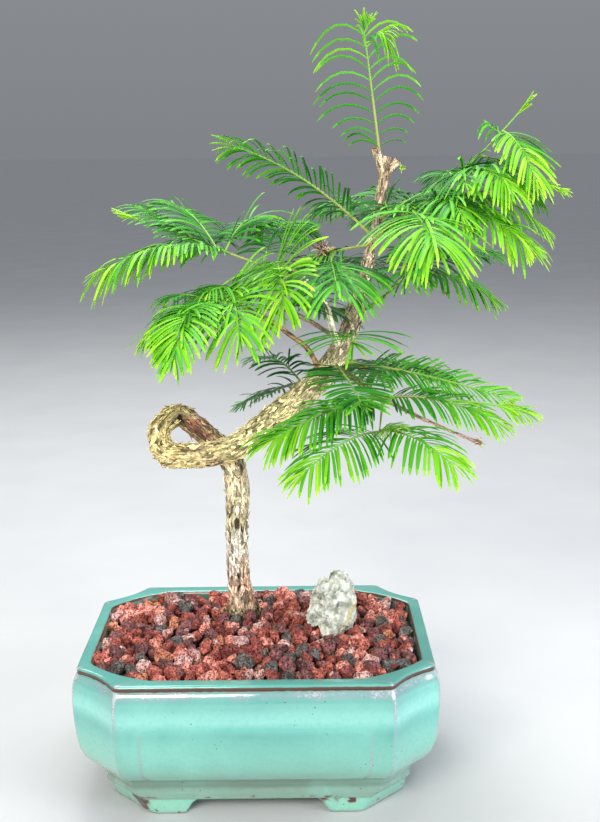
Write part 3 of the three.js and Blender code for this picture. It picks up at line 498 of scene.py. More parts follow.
def cut_rectangle(x, y, cut_x, cut_y, scoop, counts):
    """A ring round a rectangle with cut corners, anticlockwise from the +X side's low end. The
    cuts are hollow by scoop, or bulge where it is negative. counts are points a side and a cut."""
    along_x, along_y, along_cut = counts
    share = np.arange(along_cut) / along_cut
    inward = scoop * np.sin(math.pi * share) / math.sqrt(2)
    cut = np.stack([x - cut_x * share - inward, y - cut_y * (1 - share) - inward], 1)
    right = np.stack([np.full(along_y, x), np.linspace(-(y - cut_y), y - cut_y, along_y, False)], 1)
    top = np.stack([np.linspace(x - cut_x, -(x - cut_x), along_x, False), np.full(along_x, y)], 1)
    other = np.stack([-(x - cut_x * (1 - share) - inward[::-1]), y - cut_y * share - inward[::-1]], 1)
    half = np.vstack([right, cut, top, other])
    return np.vstack([half, -half])


def soften(ring, rounds):
    """Rounds the corners of a closed ring of points a little."""
    for _ in range(rounds):
        ring = 0.5 * ring + 0.25 * (np.roll(ring, 1, axis=0) + np.roll(ring, -1, axis=0))
    return ring


RING_COUNTS = [round(length / RING_STEP) for length in (
    2 * (POT["x"] - POT["corner"]), 2 * (POT["y"] - POT["corner"]), 1.5 * POT["corner"])]


def pot_ring(out, z):
    """The pot's outside at a height, pushed out from the rim's outline."""
    cut = POT["corner"] + out * SHRINK + FOOT["splay"] * eased(z, 16, 9)
    scoop = POT["scoop"] * max(0.0, (z - POT["floor"]) / (POT["height"] - POT["floor"]))
    ring = cut_rectangle(POT["x"] + out, POT["y"] + out, cut, cut, scoop, RING_COUNTS)
    return np.column_stack([soften(ring, 2), np.full(len(ring), z)])


def mouth_ring(out, z):
    """The pot's inside at a height, pushed out from the mouth's outline."""
    cuts = [MOUTH["cut_x"] + out * SHRINK, MOUTH["cut_y"] + out * SHRINK]
    ring = cut_rectangle(MOUTH["x"] + out, MOUTH["y"] + out, *cuts, -MOUTH["bulge"], RING_COUNTS)
    return np.column_stack([soften(ring, 6), np.full(len(ring), z)])


def smooth_profile(marks):
    line, _ = threaded([(out, 0, z, 1) for out, z in marks], PROFILE_STEP)
    return line[:, [0, 2]].tolist()


def panel_depth(points):
    """How far inside the border of the raised panel of its face each point lies."""
    x, y, z = np.abs(points).T
    middle, half = (PANEL["low"] + PANEL["high"]) / 2, (PANEL["high"] - PANEL["low"]) / 2
    on_front = y / POT["y"] > x / POT["x"] + 0.002
    across = np.where(on_front, x - PANEL["half_width"], y - PANEL["half_depth"])
    beyond_x = np.maximum(across + PANEL["round"], 0)
    beyond_z = np.maximum(np.abs(z - middle) - half + PANEL["round"], 0)
    inner = np.minimum(np.maximum(across, np.abs(z - middle) - half) + PANEL["round"], 0)
    return PANEL["round"] - np.hypot(beyond_x, beyond_z) - inner


def make_pot(material):
    outside = [*FOOT_BAND, *smooth_profile(BELLY), *LIP]
    rings = [pot_ring(out, z) for out, z in outside] + [mouth_ring(out, z) for out, z in INSIDE]
    columns = len(rings[0])
    points = np.vstack(rings)
    outer = np.arange(len(points)) < len(outside) * columns
    depth = np.where(outer, panel_depth(points), -9)
    x, y, _ = np.abs(points).T
    on_front = y / POT["y"] > x / POT["x"]
    outward = np.sign(points) * np.column_stack([~on_front, on_front, np.zeros(len(x))])
    flat = (x < POT["x"] - POT["corner"]) | (y < POT["y"] - POT["corner"])
    lift = np.where(flat, eased(depth, -1, 1), 0) * PANEL["raised"]
    points = points + outward * lift[:, None]
    points[outer] += unit(points[outer] * (1, 1, 0)) * (0.25 * noise(points[outer] / 30, 0))[:, None]
    out = np.repeat([out for out, _ in [*outside, *INSIDE]], columns)
    tint, bare, thin = glaze_values(points, outer, depth, flat, out)
    build("pot_glazed", points, closed_tube(len(rings), columns), [material], ["pot"],
          crease=50, values=dict(tint=tint, bare=bare, thin=thin))


def glaze_values(points, outer, depth, flat, out):
    """The glaze's tint, where it is broken to the brown clay, and where it is thin and grey. The tint
    holds a painted reflection across the belly and painted shade on the flat faces and the inner wall,
    and the thin grey rises to a painted highlight at the tops of the corner ridges.
    """
    z = points[:, 2]
    heights = [height for _, height in GLAZE_AND_REFLECTION_ZONES]
    shown = np.array([colour(text) for text, _ in GLAZE_AND_REFLECTION_ZONES])
    # Painted reflection: the zones lay a pale band across the belly
    tint = np.stack([np.interp(z, heights, shown[:, k]) for k in range(4)], 1)
    # Painted shade: the flat faces are darkened so that the cut corners stand brighter, as if lit from both
    # sides
    tint[flat & outer & (z < 83), :3] *= 0.81
    tint[(z < 26) & (z > 10.5) & outer, :3] *= 0.86
    # Painted shade: the inner wall gets a dark glaze colour
    tint[~outer & (z < 85)] = colour(INSIDE_SHADED_GLAZE)
    bare = 1.15 * bell(z, 83.9, 1.15) * outer
    bare += 0.95 * bell(z, 85.2, 0.6) * ~outer
    low = eased(z, 15, 12) * outer
    bare += 0.55 * low * eased(noise(points / 2.3, 44), 0.4, 0.65)
    streaks = 0.75 + 0.6 * noise(points * (0.12, 0.12, 0.03), 46)
    thin = 0.72 * bell(z, 81, 3.4) * outer * streaks
    thin += np.where(flat, 0.6 * bell(depth, 0, 1), 0) * eased(z, 66, 52)
    x, y, _ = np.abs(points).T
    cut = POT["corner"] + out * SHRINK
    far_x, far_y = POT["x"] + out, POT["y"] + out
    front_ridge = np.hypot(x - far_x + cut, y - far_y)
    side_ridge = np.hypot(x - far_x, y - far_y + cut)
    ridge = bell(np.minimum(front_ridge, side_ridge), 0, 1.3)
    # Thin glaze along the corner ridges, rising towards their tops as a painted highlight
    thin += (0.6 + 0.5 * eased(z, 58, 72)) * ridge * outer * eased(z, 20, 30)
    thin += 0.25 * bell(z, 16, 2) * outer
    return tint, bare, thin


def foot_ring(inset, thick, slant, z):
    """A foot's outline at a height, round the corner at +X +Y."""
    x, y = POT["x"] - inset, POT["y"] - inset
    cut = POT["corner"] - inset * SHRINK + FOOT["splay"] + 3 * eased(z, 9, 1)
    inner = cut - thick * (math.sqrt(2) - 1)
    corners = np.array([
        [FOOT["front"] + slant, y], [x - cut, y], [x, y - cut], [x, FOOT["side"] + slant],
        [x - thick, FOOT["side"] + slant], [x - thick, y - thick - inner],
        [x - thick - inner, y - thick], [FOOT["front"] + slant, y - thick]])
    ring = np.vstack([mix(a, b, np.linspace(0, 1, FOOT["points"], False)[:, None])
                      for a, b in zip(corners, np.roll(corners, -1, axis=0))])
    return np.column_stack([soften(ring, 3), np.full(len(ring), z)])


def make_feet(material):
    """Four feet, each round a corner, with hollow slanted ends."""
    rings = [foot_ring(FOOT["inset"] + inset, FOOT["thick"] + thick, slant, z)
             for inset, thick, slant, z in FOOT_RINGS]
    for sx, sy in itertools.product((1, -1), repeat=2):
        points = np.vstack(rings) * (sx, sy, 1)
        faces = closed_tube(len(rings), len(rings[0]))
        if sx * sy < 0:
            faces = [rows[:, ::-1] for rows in faces]
        z = points[:, 2]
        tint = np.tile(colour(FOOT["colour"]), (len(points), 1))
        patch = rough_noise(points / 9 + 3, 40)
        pits = eased(noise(points / 1.6, 48), 0.45, 0.7) * eased(z, 8, 3)
        bare = 0.9 * eased(z, 0.8, 0.1) + 0.7 * eased(patch, 0.35, 0.8) + 0.6 * pits
        label = ("right" if sx > 0 else "left") + ("_back" if sy > 0 else "_front")
        build("foot_" + label, points, faces, [material], crease=50,
              values=dict(tint=tint, bare=bare, thin=0.45 * eased(z, 2.5, 0)))


# The bed of lava gravel
BED = dict(edge=80.5, crown=6)
# Two colours of each kind of rock, and its share
LAVA = [("803c33", "b46354", 23), ("a95d52", "de9486", 17), ("5f2824", "964a41", 21),
        ("9a5640", "c08062", 5), ("52302f", "845252", 15), ("403c3a", "686260", 8), ("a07370", "d6aaa2", 11)]
# Layers of rock: the gap between two, their size, their rise over the bed, and how fine they are
LAYERS = [(6.9, 9, 1.2, 3), (7.4, 9, -4.4, 2), (11, 4.4, 2.2, 2)]
ROCKS = dict(shapes=24, cuts=9, tries=14_000, margin=4.4)
MOSS = dict(crumbs=150, shapes=6, near=7.5, far=12.5, colours=("27381d", "43562c", "6a6f4a"))


def bed_height(x, y):
    across, away = x / MOUTH["x"], y / MOUTH["y"]
    return BED["edge"] + BED["crown"] * (1 - across**2) * (1 - 0.6 * away**2)


def inside_mouth(x, y, margin):
    """True where a place is inside the pot's mouth by a margin."""
    half_x, half_y = MOUTH["x"] - margin, MOUTH["y"] - margin
    if abs(x) > half_x or abs(y) > half_y:
        return False
    past = (abs(x) - half_x) / MOUTH["cut_x"] + (abs(y) - half_y) / MOUTH["cut_y"]
    return past < -1 + 2 * MOUTH["bulge"] / MOUTH["cut_x"]


def ball(subdivisions):
    """Points and triangles of a ball of radius 1."""
    shape = bmesh.new()
    bmesh.ops.create_icosphere(shape, subdivisions=subdivisions, radius=1)
    points = np.array([v.co[:] for v in shape.verts])
    faces = np.array([[v.index for v in f.verts] for f in shape.faces])
    shape.free()
    return points, faces


def rock_shapes(count, subdivisions):
    """Lumps of broken lava: a ball cut by random planes, then roughened and pitted."""
    points, faces = ball(subdivisions)
    shapes = []
    for i in range(count):
        rng = np.random.default_rng(SEEDS["rocks"] + i)
        shape = points * rng.uniform(0.72, 1.35, 3)
        for _ in range(ROCKS["cuts"]):
            normal = unit(rng.normal(size=3))
            over = np.maximum(shape @ normal - rng.uniform(0.42, 0.8), 0)
            shape = shape - over[:, None] * normal
        pits = eased(noise(points * 5 + 9 * i, i), 0.2, 0.55)
        bumps = 0.1 * rough_noise(shape * 2.8 + 7 * i, i) - 0.16 * pits
        shapes.append(shape * (1.18 + bumps)[:, None])
    return shapes, faces


def scatter_bed(rng, gap):
    """Places all over the mouth, none closer than gap to another."""
    found = np.empty((0, 2))
    for _ in range(ROCKS["tries"]):
        x, y = rng.uniform(-1, 1) * MOUTH["x"], rng.uniform(-1, 1) * MOUTH["y"]
        if not inside_mouth(x, y, ROCKS["margin"]):
            continue
        if len(found) == 0 or np.min(np.hypot(found[:, 0] - x, found[:, 1] - y)) > gap:
            found = np.vstack([found, [x, y]])
    return found


def random_turn(rng):
    turn, _ = np.linalg.qr(rng.normal(size=(3, 3)))
    return turn * np.sign(np.linalg.det(turn))


def make_gravel():
    """Coarse rocks on top of the bed, a rougher layer under them, and small bits between."""
    rng = np.random.default_rng(SEEDS["gravel"])
    shares = np.array([share for _, _, share in LAVA], float)
    heaps = {i: [[], [], 0] for i in range(len(LAVA))}
    for gap, size, rise, subdivisions in LAYERS:
        shapes, faces = rock_shapes(ROCKS["shapes"], subdivisions)
        for x, y in scatter_bed(rng, gap):
            half = size / 2 * rng.uniform(0.72, 1.2)
            if math.hypot(x - TRUNK_FOOT[0], y - TRUNK_FOOT[1]) < TRUNK_FOOT[3] * 0.8 + half * 0.5:
                continue
            heap = heaps[rng.choice(len(LAVA), p=shares / shares.sum())]
            rock = shapes[rng.integers(len(shapes))] @ random_turn(rng) * half
            z = bed_height(x, y) + rise + rng.uniform(-1.3, 1.1)
            heap[0].append(rock + (x, y, z))
            heap[1].append(faces + heap[2])
            heap[2] += len(rock)
    for i, (main, other, _) in enumerate(LAVA):
        rocks, turns, _ = heaps[i]
        build(f"gravel_{i + 1}", np.vstack(rocks), [np.vstack(turns)],
              [lava_material(f"lava_{i + 1}", main, other)], ["gravel"], crease=35)
    # A near-black sheet under the rocks, as painted shade seen through the gaps between them
    soil = [mouth_ring(-1.2, z) for z in (30, BED["edge"] - 3)]
    build("bed_under_gravel", np.vstack(soil), closed_tube(2, len(soil[0])),
          [plain_material("painted_shade_bed", "170f0d")])
    make_moss(rng)


def make_moss(rng):
    """Green crumbs round the foot of the trunk."""
    shapes, faces = rock_shapes(MOSS["shapes"], 1)
    crumbs, turns = [], []
    for i in range(MOSS["crumbs"]):
        turn, out = rng.uniform(0, 2 * math.pi), rng.uniform(MOSS["near"], MOSS["far"])
        x, y = TRUNK_FOOT[0] + out * math.cos(turn), TRUNK_FOOT[1] + out * math.sin(turn)
        z = bed_height(x, y) + rng.uniform(2.2, 5.2) - 0.25 * (out - MOSS["near"])
        turns.append(faces + i * len(shapes[0]))
        crumbs.append(shapes[i % len(shapes)] @ random_turn(rng) * rng.uniform(0.5, 1.3) + (x, y, z))
    shades = np.repeat(rng.integers(0, len(MOSS["colours"]), MOSS["crumbs"]), len(faces))
    moss = [plain_material(f"moss_{i + 1}", text, 0.95) for i, text in enumerate(MOSS["colours"])]
    build("moss_at_foot", np.vstack(crumbs), [np.vstack(turns)], moss, shades=shades)


# The standing stone
STONE = dict(x=45, y=4, base=83.5, middle=19, depth=12, lean=13, cuts=24, sectors=48)
# Its reach round its middle from +X, as seen from -Y, every 11.25 degrees
STONE_REACH = [14.9, 14.9, 15.4, 16, 17.2, 19, 20.6, 20.9, 19.4, 14.4, 16, 15.2, 14.5, 14.3, 14, 13.6,
               13.6, 14.6, 18.2, 18, 16.4, 15.8, 18.2, 21, 22.3, 19, 17, 16.9, 17.4, 17, 15.8, 14.7]


def make_stone():
    """An upright craggy lump, cut by planes, broken into ridges and fitted to its outline."""
    points, faces = ball(6)
    rng = np.random.default_rng(SEEDS["stone"])
    shape = points.copy()
    for _ in range(STONE["cuts"]):
        normal = unit(rng.normal(size=3))
        shape -= np.maximum(shape @ normal - rng.uniform(0.66, 0.9), 0)[:, None] * normal
    calm = eased(points @ unit(np.array([0.75, -0.45, -0.6])), 0.45, 0.75)
    ridges = sum(np.abs(noise(points * 1.7 * 2.1**i + 4, 61 + i)) / 1.5**i for i in range(5))
    pits = eased(noise(points * 9, 68), 0.3, 0.6)
    shape *= (1 + 0.3 * (0.6 - ridges) * (1 - 0.55 * calm) - 0.07 * pits * (1 - calm))[:, None]
    turn = (np.arctan2(shape[:, 2], shape[:, 0]) / (2 * math.pi)) % 1
    sectors = STONE["sectors"]
    reached = np.zeros(sectors)
    np.maximum.at(reached, (turn * sectors).astype(int) % sectors, np.hypot(shape[:, 0], shape[:, 2]))
    count, around = len(STONE_REACH), np.arange(-1, sectors + 1)
    wanted = np.interp(turn * count, np.arange(count + 1), [*STONE_REACH, STONE_REACH[0]])
    fit = wanted / np.interp(turn * sectors - 0.5, around, reached[around % sectors])
    shape *= np.column_stack([fit, np.full(len(points), STONE["depth"] * 1.2), fit])
    shape[:, 1] += STONE["lean"] * np.minimum(shape[:, 2], 0) / STONE["middle"]
    shape += (STONE["x"], STONE["y"], STONE["base"] + STONE["middle"])
    shape[:, 2] = np.maximum(shape[:, 2], STONE["base"] - 1.5)
    bands = np.sin(shape @ unit(np.array([0.8, 0.1, -0.6])) * 0.8 + 1.6 * noise(shape / 6, 70) + 1)
    # Where shade is painted: the creases between the ridges, and the pits
    shaded_crack = np.clip(2.2 * (0.42 - ridges) + 0.8 * pits * (1 - calm), 0, 1)
    build("stone_craggy", shape, [faces], [stone_material()], ["stone"], crease=70,
          values=dict(shaded_crack=shaded_crack, band=bands * calm))


# The trunk and the boughs, as marks of (x, y, z, radius)
TRUNK_FOOT = (-11, 28, 84.5, 10)
LOOP = dict(x=-47.5, z=203, radius=10.8, start=80, end=290, step=35, back=29, front=13, thin=6.2,
            thick=7.1)
FOOT_MARKS = [
    (-10.5, 28, 78, 12.5), (-11, 28, 84.5, 9.6), (-11, 28, 88, 8.1), (-11.5, 28, 94, 7.2),
    (-13, 28, 112, 6.5), (-13.5, 28, 140, 6.3), (-12.5, 27.5, 165, 6.6), (-14, 27.3, 180, 6.9),
    (-19.5, 27.3, 191, 6.8), (-28, 28.5, 199, 6.3), (-37, 29.5, 207, 6.2),
]
RISING_MARKS = [
    (-28, 14, 193.5, 7.2), (-12, 15, 198, 7.2), (0, 15, 206.5, 7.2), (13, 16, 217, 7.2),
    (27, 18, 226.5, 7.1), (38, 20, 237, 6.8), (48, 22, 250, 6), (56, 24, 265, 5.4),
    (61, 25, 281, 4.9), (65.5, 25, 297, 3.8), (68.5, 25, 311, 3.1), (72, 25, 326, 2.8),
    (74, 25, 340, 2.7), (76, 25, 352, 3), (77.5, 25, 361, 3.5), (78.5, 25, 366.5, 2.9),
]
STUBS = {
    "left": [(76.5, 25, 357, 2.6), (73.5, 23.5, 365, 2.3), (71, 22, 371, 2.4)],
    "right": [(76.5, 25, 355, 2.4), (80.5, 24.5, 359.5, 2.2), (84.5, 24, 364, 2.3)],
}
# The boughs: a colour, then the marks
BOUGHS = {
    "left_pale": ("fff6d4", (51, 22, 253, 2.2), (46, 14, 268, 1.9), (42.5, 10, 283, 1.8),
                  (36, 7, 291, 1.8), (28, 5, 299, 2.7)),
    "left_low": ("c89c70", (40, 20, 240, 1.8), (31, 13, 257, 1.5), (22, 9, 265, 1.4), (8, 4, 276, 1.3),
                 (-5, 0, 283, 1.8)),
    "left_grey": ("c4a498", (53, 24, 258, 1.7), (42, 22, 266, 1.5), (28, 17, 275, 1.3), (17, 10, 281, 1.2)),
    "right_low": ("b08a64", (45, 22, 246, 2.2), (56, 18, 240, 1.8), (68, 16, 231, 1.8), (78, 15, 225, 3.2)),
    "right_bare": ("c4a094", (78.5, 14.9, 224.6, 1.5), (90, 14, 218.5, 1.2), (106, 12, 211, 1.0),
                   (122, 11, 204, 1.0), (134, 10, 199, 1.4)),
    "right_high": ("8f9a52", (70.5, 25, 319, 2), (80, 23, 328, 1.6), (90, 21, 335, 1.5), (99, 19, 338, 1.7)),
    "right_inner": ("7fa64a", (61, 25, 276, 1.5), (74, 27, 283, 1.2), (83, 26, 291, 1.1), (90, 25, 300, 1.3)),
    "back_high": ("8f8a52", (70.5, 25, 319, 1.9), (74, 36, 324, 1.6), (77, 48, 326, 1.8)),
    "back_middle": ("9a7a50", (65, 25, 293, 2), (58, 37, 298, 1.7), (52, 50, 299, 1.8)),
    "back_low": ("9a6f4a", (46, 22, 247, 2.2), (58, 37, 244, 1.8), (68, 52, 236, 1.8)),
}
# Painted light: a bough that lies in the foliage's shadow is brightened past its own colour by this factor
BOUGH_PAINTED_LIGHT = dict(left_pale=1.5)  # how much brighter a bough is than its colour can say
# Bark: the distance of its rings, points a ring, relief, the width and length of a plate, and lumps
BARK = dict(trunk=(0.85, 92, 0.62, (2.9, 7), 0.09), stubs=(0.5, 36, 0.22, (1.3, 3), 0.08),
            boughs=(0.6, 28, 0.17, (1.1, 4.5), 0.1))
GRAIN = 0.13  # how short the bark's streaks are along a limb, against across it
# Peeling strips: how many, rings a strip, the share of the trunk that has them, and their brightness,
# raised as painted light against the painted shade of the bark under them
PEEL = dict(strips=2700, steps=5, up_to=7 / 8, shade=1.28)
# The brightness of the bark under them, lowered as painted shade beneath the strips, the colour of
# sawn wood, and what plates of bark turn to
TRUNK_SHADE, SAWN = 0.66, "d39a68"
PATCHES = ["f3e6bd", "94603f", "8d7c66", "a09a5e", "c7ab78"]
# Where the trunk's colour changes: a place, how far it spreads, and the colour. Up the rising limb
# the colours are also painted light, brightened against the shadow that the foliage casts there
TRUNK_TINTS_AND_LIGHT = [
    (-11, 26, 83, 6, "6c6648"), (-15, 21, 93, 7, "dcc4b0"), (-8, 21, 95, 6, "e6bca0"),
    (-16, 21, 106, 7, "f0d0c0"), (-8.5, 21, 110, 7, "ffd0b4"), (-8, 21, 120, 6, "ffd8bc"),
    (-16, 21, 119, 8, "fffaf2"), (-15, 21, 130, 8, "fffcf4"), (-9, 21, 132, 6, "f6eed6"),
    (-14, 21, 141, 7, "fbf6e0"), (-13, 21, 151, 9, "f4eac4"), (-12, 21, 165, 9, "f4ecc8"),
    (-13, 22, 178, 9, "f0e0bc"), (-20, 27, 160, 5, "a06e54"), (-13, 36, 110, 14, "b89c80"),
    (-13, 36, 150, 16, "bfac86"), (-28, 30, 199, 9, "a8906e"), (-35, 26, 206, 5, "a8786a"),
    (-43, 26, 207, 5, "985c50"), (-45, 22, 214, 6, "8a7858"), (-50, 24, 216, 8, "b2a46c"),
    (-59, 19, 203, 11, "dccb8c"), (-47, 14, 190, 11, "ecd89a"), (-28, 13, 193, 11, "f0d8a2"),
    # These colours on the rising limb are brightened as painted light against the foliage's shadow
    (-10, 14, 198, 12, "fcf0b0"), (8, 15, 212, 14, "fff4ba"), (30, 18, 229, 14, "fff0bc"),
    (44, 21, 245, 9, "fff2c4"), (54, 22, 262, 9, "fce0c4"), (62, 25, 285, 16, "f2d8bc"),
    (70, 25, 320, 18, "f0d8c4"), (77, 25, 360, 14, "ecccb0"),
]


def loop_marks():
    marks = []
    for angle in range(LOOP["start"], LOOP["end"] + 1, LOOP["step"]):
        turn = math.radians(angle)
        share = (angle - LOOP["start"]) / (LOOP["end"] - LOOP["start"])
        marks.append((
            LOOP["x"] + LOOP["radius"] * math.cos(turn), mix(LOOP["back"], LOOP["front"], share**0.7),
            LOOP["z"] + LOOP["radius"] * math.sin(turn), mix(LOOP["thin"], LOOP["thick"], share)))
    return marks


def barked(theta, arc, radius, rough, flake, seed):
    """Bark over a limb unrolled by angle and length: how far it stands out, where it is cracked and
    so painted dark as shade, with a few plates dark in their own colour, and each plate's own number.
    flake is the width and length of a plate."""
    width, length = flake
    unrolled = np.stack([np.cos(theta) * radius / width, np.sin(theta) * radius / width, arc / length], -1)
    bent = unrolled + 0.45 * noise_vectors(unrolled * 0.7, seed + 20)
    border, own, past = cells(bent, seed)
    shaded_crack = np.exp(-border / 0.1)
    height = 1.1 * (own - 0.4) + 0.5 * past + 0.5 * noise(unrolled * 0.45, seed + 9)
    height = height + 0.35 * noise(unrolled * (2.8, 2.8, 1.0), seed + 10) - 0.9 * shaded_crack
    return rough * height, np.clip(shaded_crack + 1.2 * (0.24 - own), 0, 1), own


def limb(marks, kind, seed):
    """Points, faces, middle line, cracks, plate numbers and fibre places of a barked limb."""
    step, sides, rough, flake, lumps = BARK[kind]
    line, arc = threaded(marks, step)
    _, side, other = frames_along(line[:, :3])
    theta = np.linspace(0, 2 * math.pi, sides, endpoint=False)
    radius = line[:, 3:4] * np.ones(sides)
    turn, length = np.meshgrid(theta, arc)
    relief, shaded_crack, own = barked(turn, length, radius, rough, flake, seed)
    slow = np.stack([np.cos(turn) * 1.3, np.sin(turn) * 1.3, length / 13], -1)
    lumpy = noise(slow, seed + 30) + 0.5 * noise(slow * 2.3, seed + 31)
    radius = radius * (1 + lumps * lumpy) + relief
    points = rings_round(line[:, :3], side, other, turn, radius)
    faces = closed_tube(len(arc), sides)
    fibre = np.stack([np.cos(turn) * line[:, 3:4], np.sin(turn) * line[:, 3:4], length * GRAIN,
                      np.ones_like(turn)], -1)
    return points.reshape(-1, 3), faces, line, shaded_crack.ravel(), own.ravel(), fibre.reshape(-1, 4)


def trunk_tint(points):
    """The trunk's colour by place, as a blend of the named ones, with painted light up the rising limb."""
    total = np.zeros((len(points), 4))
    weight = np.zeros((len(points), 1))
    warped = points + 5 * noise_vectors(points / 5, 80)
    for *place, reach, text in TRUNK_TINTS_AND_LIGHT:
        share = np.exp(-(np.sum((warped - place) ** 2, axis=1) / reach**2))[:, None] ** 2 + 1e-9
        total += share * np.array(colour(text))
        weight += share
    return total / weight


def varied(tint, number, strength):
    """Tints made paler, redder, greyer or greener by a number from 0 to 1 for each."""
    kinds = np.array([colour(text) for text in PATCHES])
    kind = (number * 37 % 1 * len(kinds)).astype(int)
    share = strength * (0.35 + 0.65 * (number * 91 % 1))[:, None]
    shaded = tint * (0.4 + 1.15 * (number * 53 % 1))[:, None]
    return mix(shaded, kinds[kind], share)


def peel(line):
    """Thin strips of bark all over a limb, most of them nearly flat, some with a lifted end. It
    gives points, faces, and a place, a number and a fibre place for each point."""
    rng = np.random.default_rng(SEEDS["peel"])
    count, steps = PEEL["strips"], PEEL["steps"]
    ahead, side, other = frames_along(line[:, :3])
    i = rng.integers(3, len(line) - 3, count)
    turn = rng.uniform(0, 2 * math.pi, count)[:, None]
    out = turned(side[i], other[i], turn)
    around = np.cross(ahead[i], out)
    skew = (rng.normal(0, 0.3, count) + math.pi * rng.integers(0, 2, count))[:, None]
    along = turned(ahead[i], around, skew)
    across = np.cross(out, along)
    radius = line[i, 3][:, None]
    fit = np.clip(radius / 7, 0.45, 1)
    long = rng.uniform(2.8, 7.5, (count, 1)) * fit
    wide = rng.uniform(0.8, 2.3, (count, 1)) * fit
    lift = np.where(rng.random((count, 1)) < 0.14, rng.uniform(0.16, 0.4, (count, 1)),
                    rng.uniform(0.02, 0.12, (count, 1))) * long
    u = np.linspace(0, 1, steps)[None, :, None]
    base = line[i, :3] + out * (radius + rng.uniform(0.05, 0.5, (count, 1)))
    drop = (u * long[:, None] * np.sin(skew)[:, None]) ** 2 / (2 * radius[:, None])
    middle = base[:, None] + along[:, None] * u * long[:, None]
    middle = middle + out[:, None] * (lift[:, None] * u**2 - 0.15 - drop)
    ragged = 1 + rng.uniform(-0.42, 0.42, (count, steps, 1))
    half = across[:, None] * wide[:, None] / 2 * (1 - 0.5 * np.abs(2 * u - 0.9) ** 3) * ragged
    skin = out[:, None] * 0.16
    low, high = middle - skin * 1.9, middle + skin * 0.1
    points = np.stack([low - half, low + half, high + half, high - half], 2).reshape(-1, 3)
    faces = strip_faces(count, steps)
    places = np.repeat(base, steps * 4, axis=0)
    number = rng.random(count)
    fibre = np.zeros((count, steps, 4, 4))
    fibre[..., 0] = np.array([-0.5, 0.5, 0.5, -0.5]) * wide[:, None] + 60 * number[:, None, None]
    fibre[..., 2] = u * long[:, None] * GRAIN
    fibre[..., 3] = 1
    return points, faces, places, np.repeat(number, steps * 4), fibre.reshape(-1, 4)


# Hollows in the trunk, sunk and painted dark as the shade inside them: a place on its surface, and a size
HOLLOWS = [(-13, 22, 146.9, 3), (-8.9, 23, 143.5, 2.2), (-7.6, 23, 188.5, 2.6), (-7.8, 23, 183, 2.4),
           (-20.3, 25, 185, 2.2), (-20, 26, 178, 2.2), (-19.4, 26, 171, 2), (-15.5, 22, 156, 1.6),
           (-12.9, 21.5, 113, 1.6), (-11.9, 21.2, 105, 1.8), (-45.1, 22, 213, 2.6),
           (62.6, 20.5, 279, 2.8)]


def from_hollow(points, place, size):
    """How far points are from a hollow, which is taller than wide, against its size."""
    return np.linalg.norm((points - place) * (1.25, 1, 0.62), axis=1) / size


def make_trunk():
    marks = [*FOOT_MARKS, *loop_marks(), *RISING_MARKS]
    material = bark_material("old_bark")
    points, faces, line, shaded_crack, own, fibre = limb(marks, "trunk", SEEDS["trunk"])
    foot = eased(points[:, 2], 97, 80)
    around = np.arctan2(points[:, 1] - TRUNK_FOOT[1], points[:, 0] - TRUNK_FOOT[0])
    flare = foot * (0.6 + 1.5 * np.cos(around * 5 + 0.8) * np.cos(around * 2 - 0.4) + noise(points / 3, 12))
    points += unit(points * (1, 1, 0) - (*TRUNK_FOOT[:2], 0)) * flare[:, None]
    core = np.repeat(line[:, :3], len(points) // len(line), axis=0)
    for *place, size in HOLLOWS:
        sunk = eased(from_hollow(points, place, size), 1.15, 0.6)
        # Painted shade: each hollow is darkened as well as sunk
        shaded_crack = np.maximum(shaded_crack, sunk)
        points += (core - points) * 0.24 * sunk[:, None]
    # Painted shade: the bark under the strips is darkened by TRUNK_SHADE
    tint = varied(trunk_tint(points), own, 0.25) * TRUNK_SHADE
    build("trunk_bark", points, faces, [material], ["trunk"], crease=60,
          values=dict(tint=tint, shaded_crack=shaded_crack, fibre=fibre))
    points, faces, places, number, fibre = peel(line[: int(len(line) * PEEL["up_to"])])
    kept = np.ones(len(points), bool)
    for *place, size in HOLLOWS:
        kept &= from_hollow(places, place, size) > 1.5
    faces = faces[kept[faces[:, 0]]]
    used, faces = np.unique(faces, return_inverse=True)
    # Painted light: the strips are brightened by PEEL's shade number
    build("trunk_peeling_bark", points[used], [faces.reshape(-1, 4)], [material], crease=60,
          values=dict(tint=varied(trunk_tint(places[used]), number[used], 0.45) * PEEL["shade"],
                      shaded_crack=np.zeros(len(used)), fibre=fibre[used]))
    for side, marks in STUBS.items():
        points, faces, _, shaded_crack, own, fibre = limb(marks, "stubs", SEEDS["stubs"])
        tint = varied(trunk_tint(points), own, 0.3)
        tint[-BARK["stubs"][1] :] = colour(SAWN)
        build("stub_" + side, points, faces, [material], crease=50,
              values=dict(tint=tint, shaded_crack=shaded_crack, fibre=fibre))


def make_boughs():
    material = bark_material("young_bark", 0.75)
    for i, (label, (shown, *marks)) in enumerate(BOUGHS.items()):
        name = "bough_" + label
        points, faces, _, shaded_crack, own, fibre = limb(marks, "boughs", SEEDS["boughs"] + i)
        tint = varied(np.tile(colour(shown), (len(points), 1)), own, 0.2)
        patchy = 1 + 0.22 * noise(points / 5, SEEDS["bough_tints"] + i)
        # Painted light on a bough that lies in shadow
        tint[:, :3] *= BOUGH_PAINTED_LIGHT.get(label, 1) * patchy[:, None]
        build(name + "_bark", points, faces, [material], [name], crease=60,
              values=dict(tint=tint, shaded_crack=shaded_crack * 0.7, fibre=fibre))


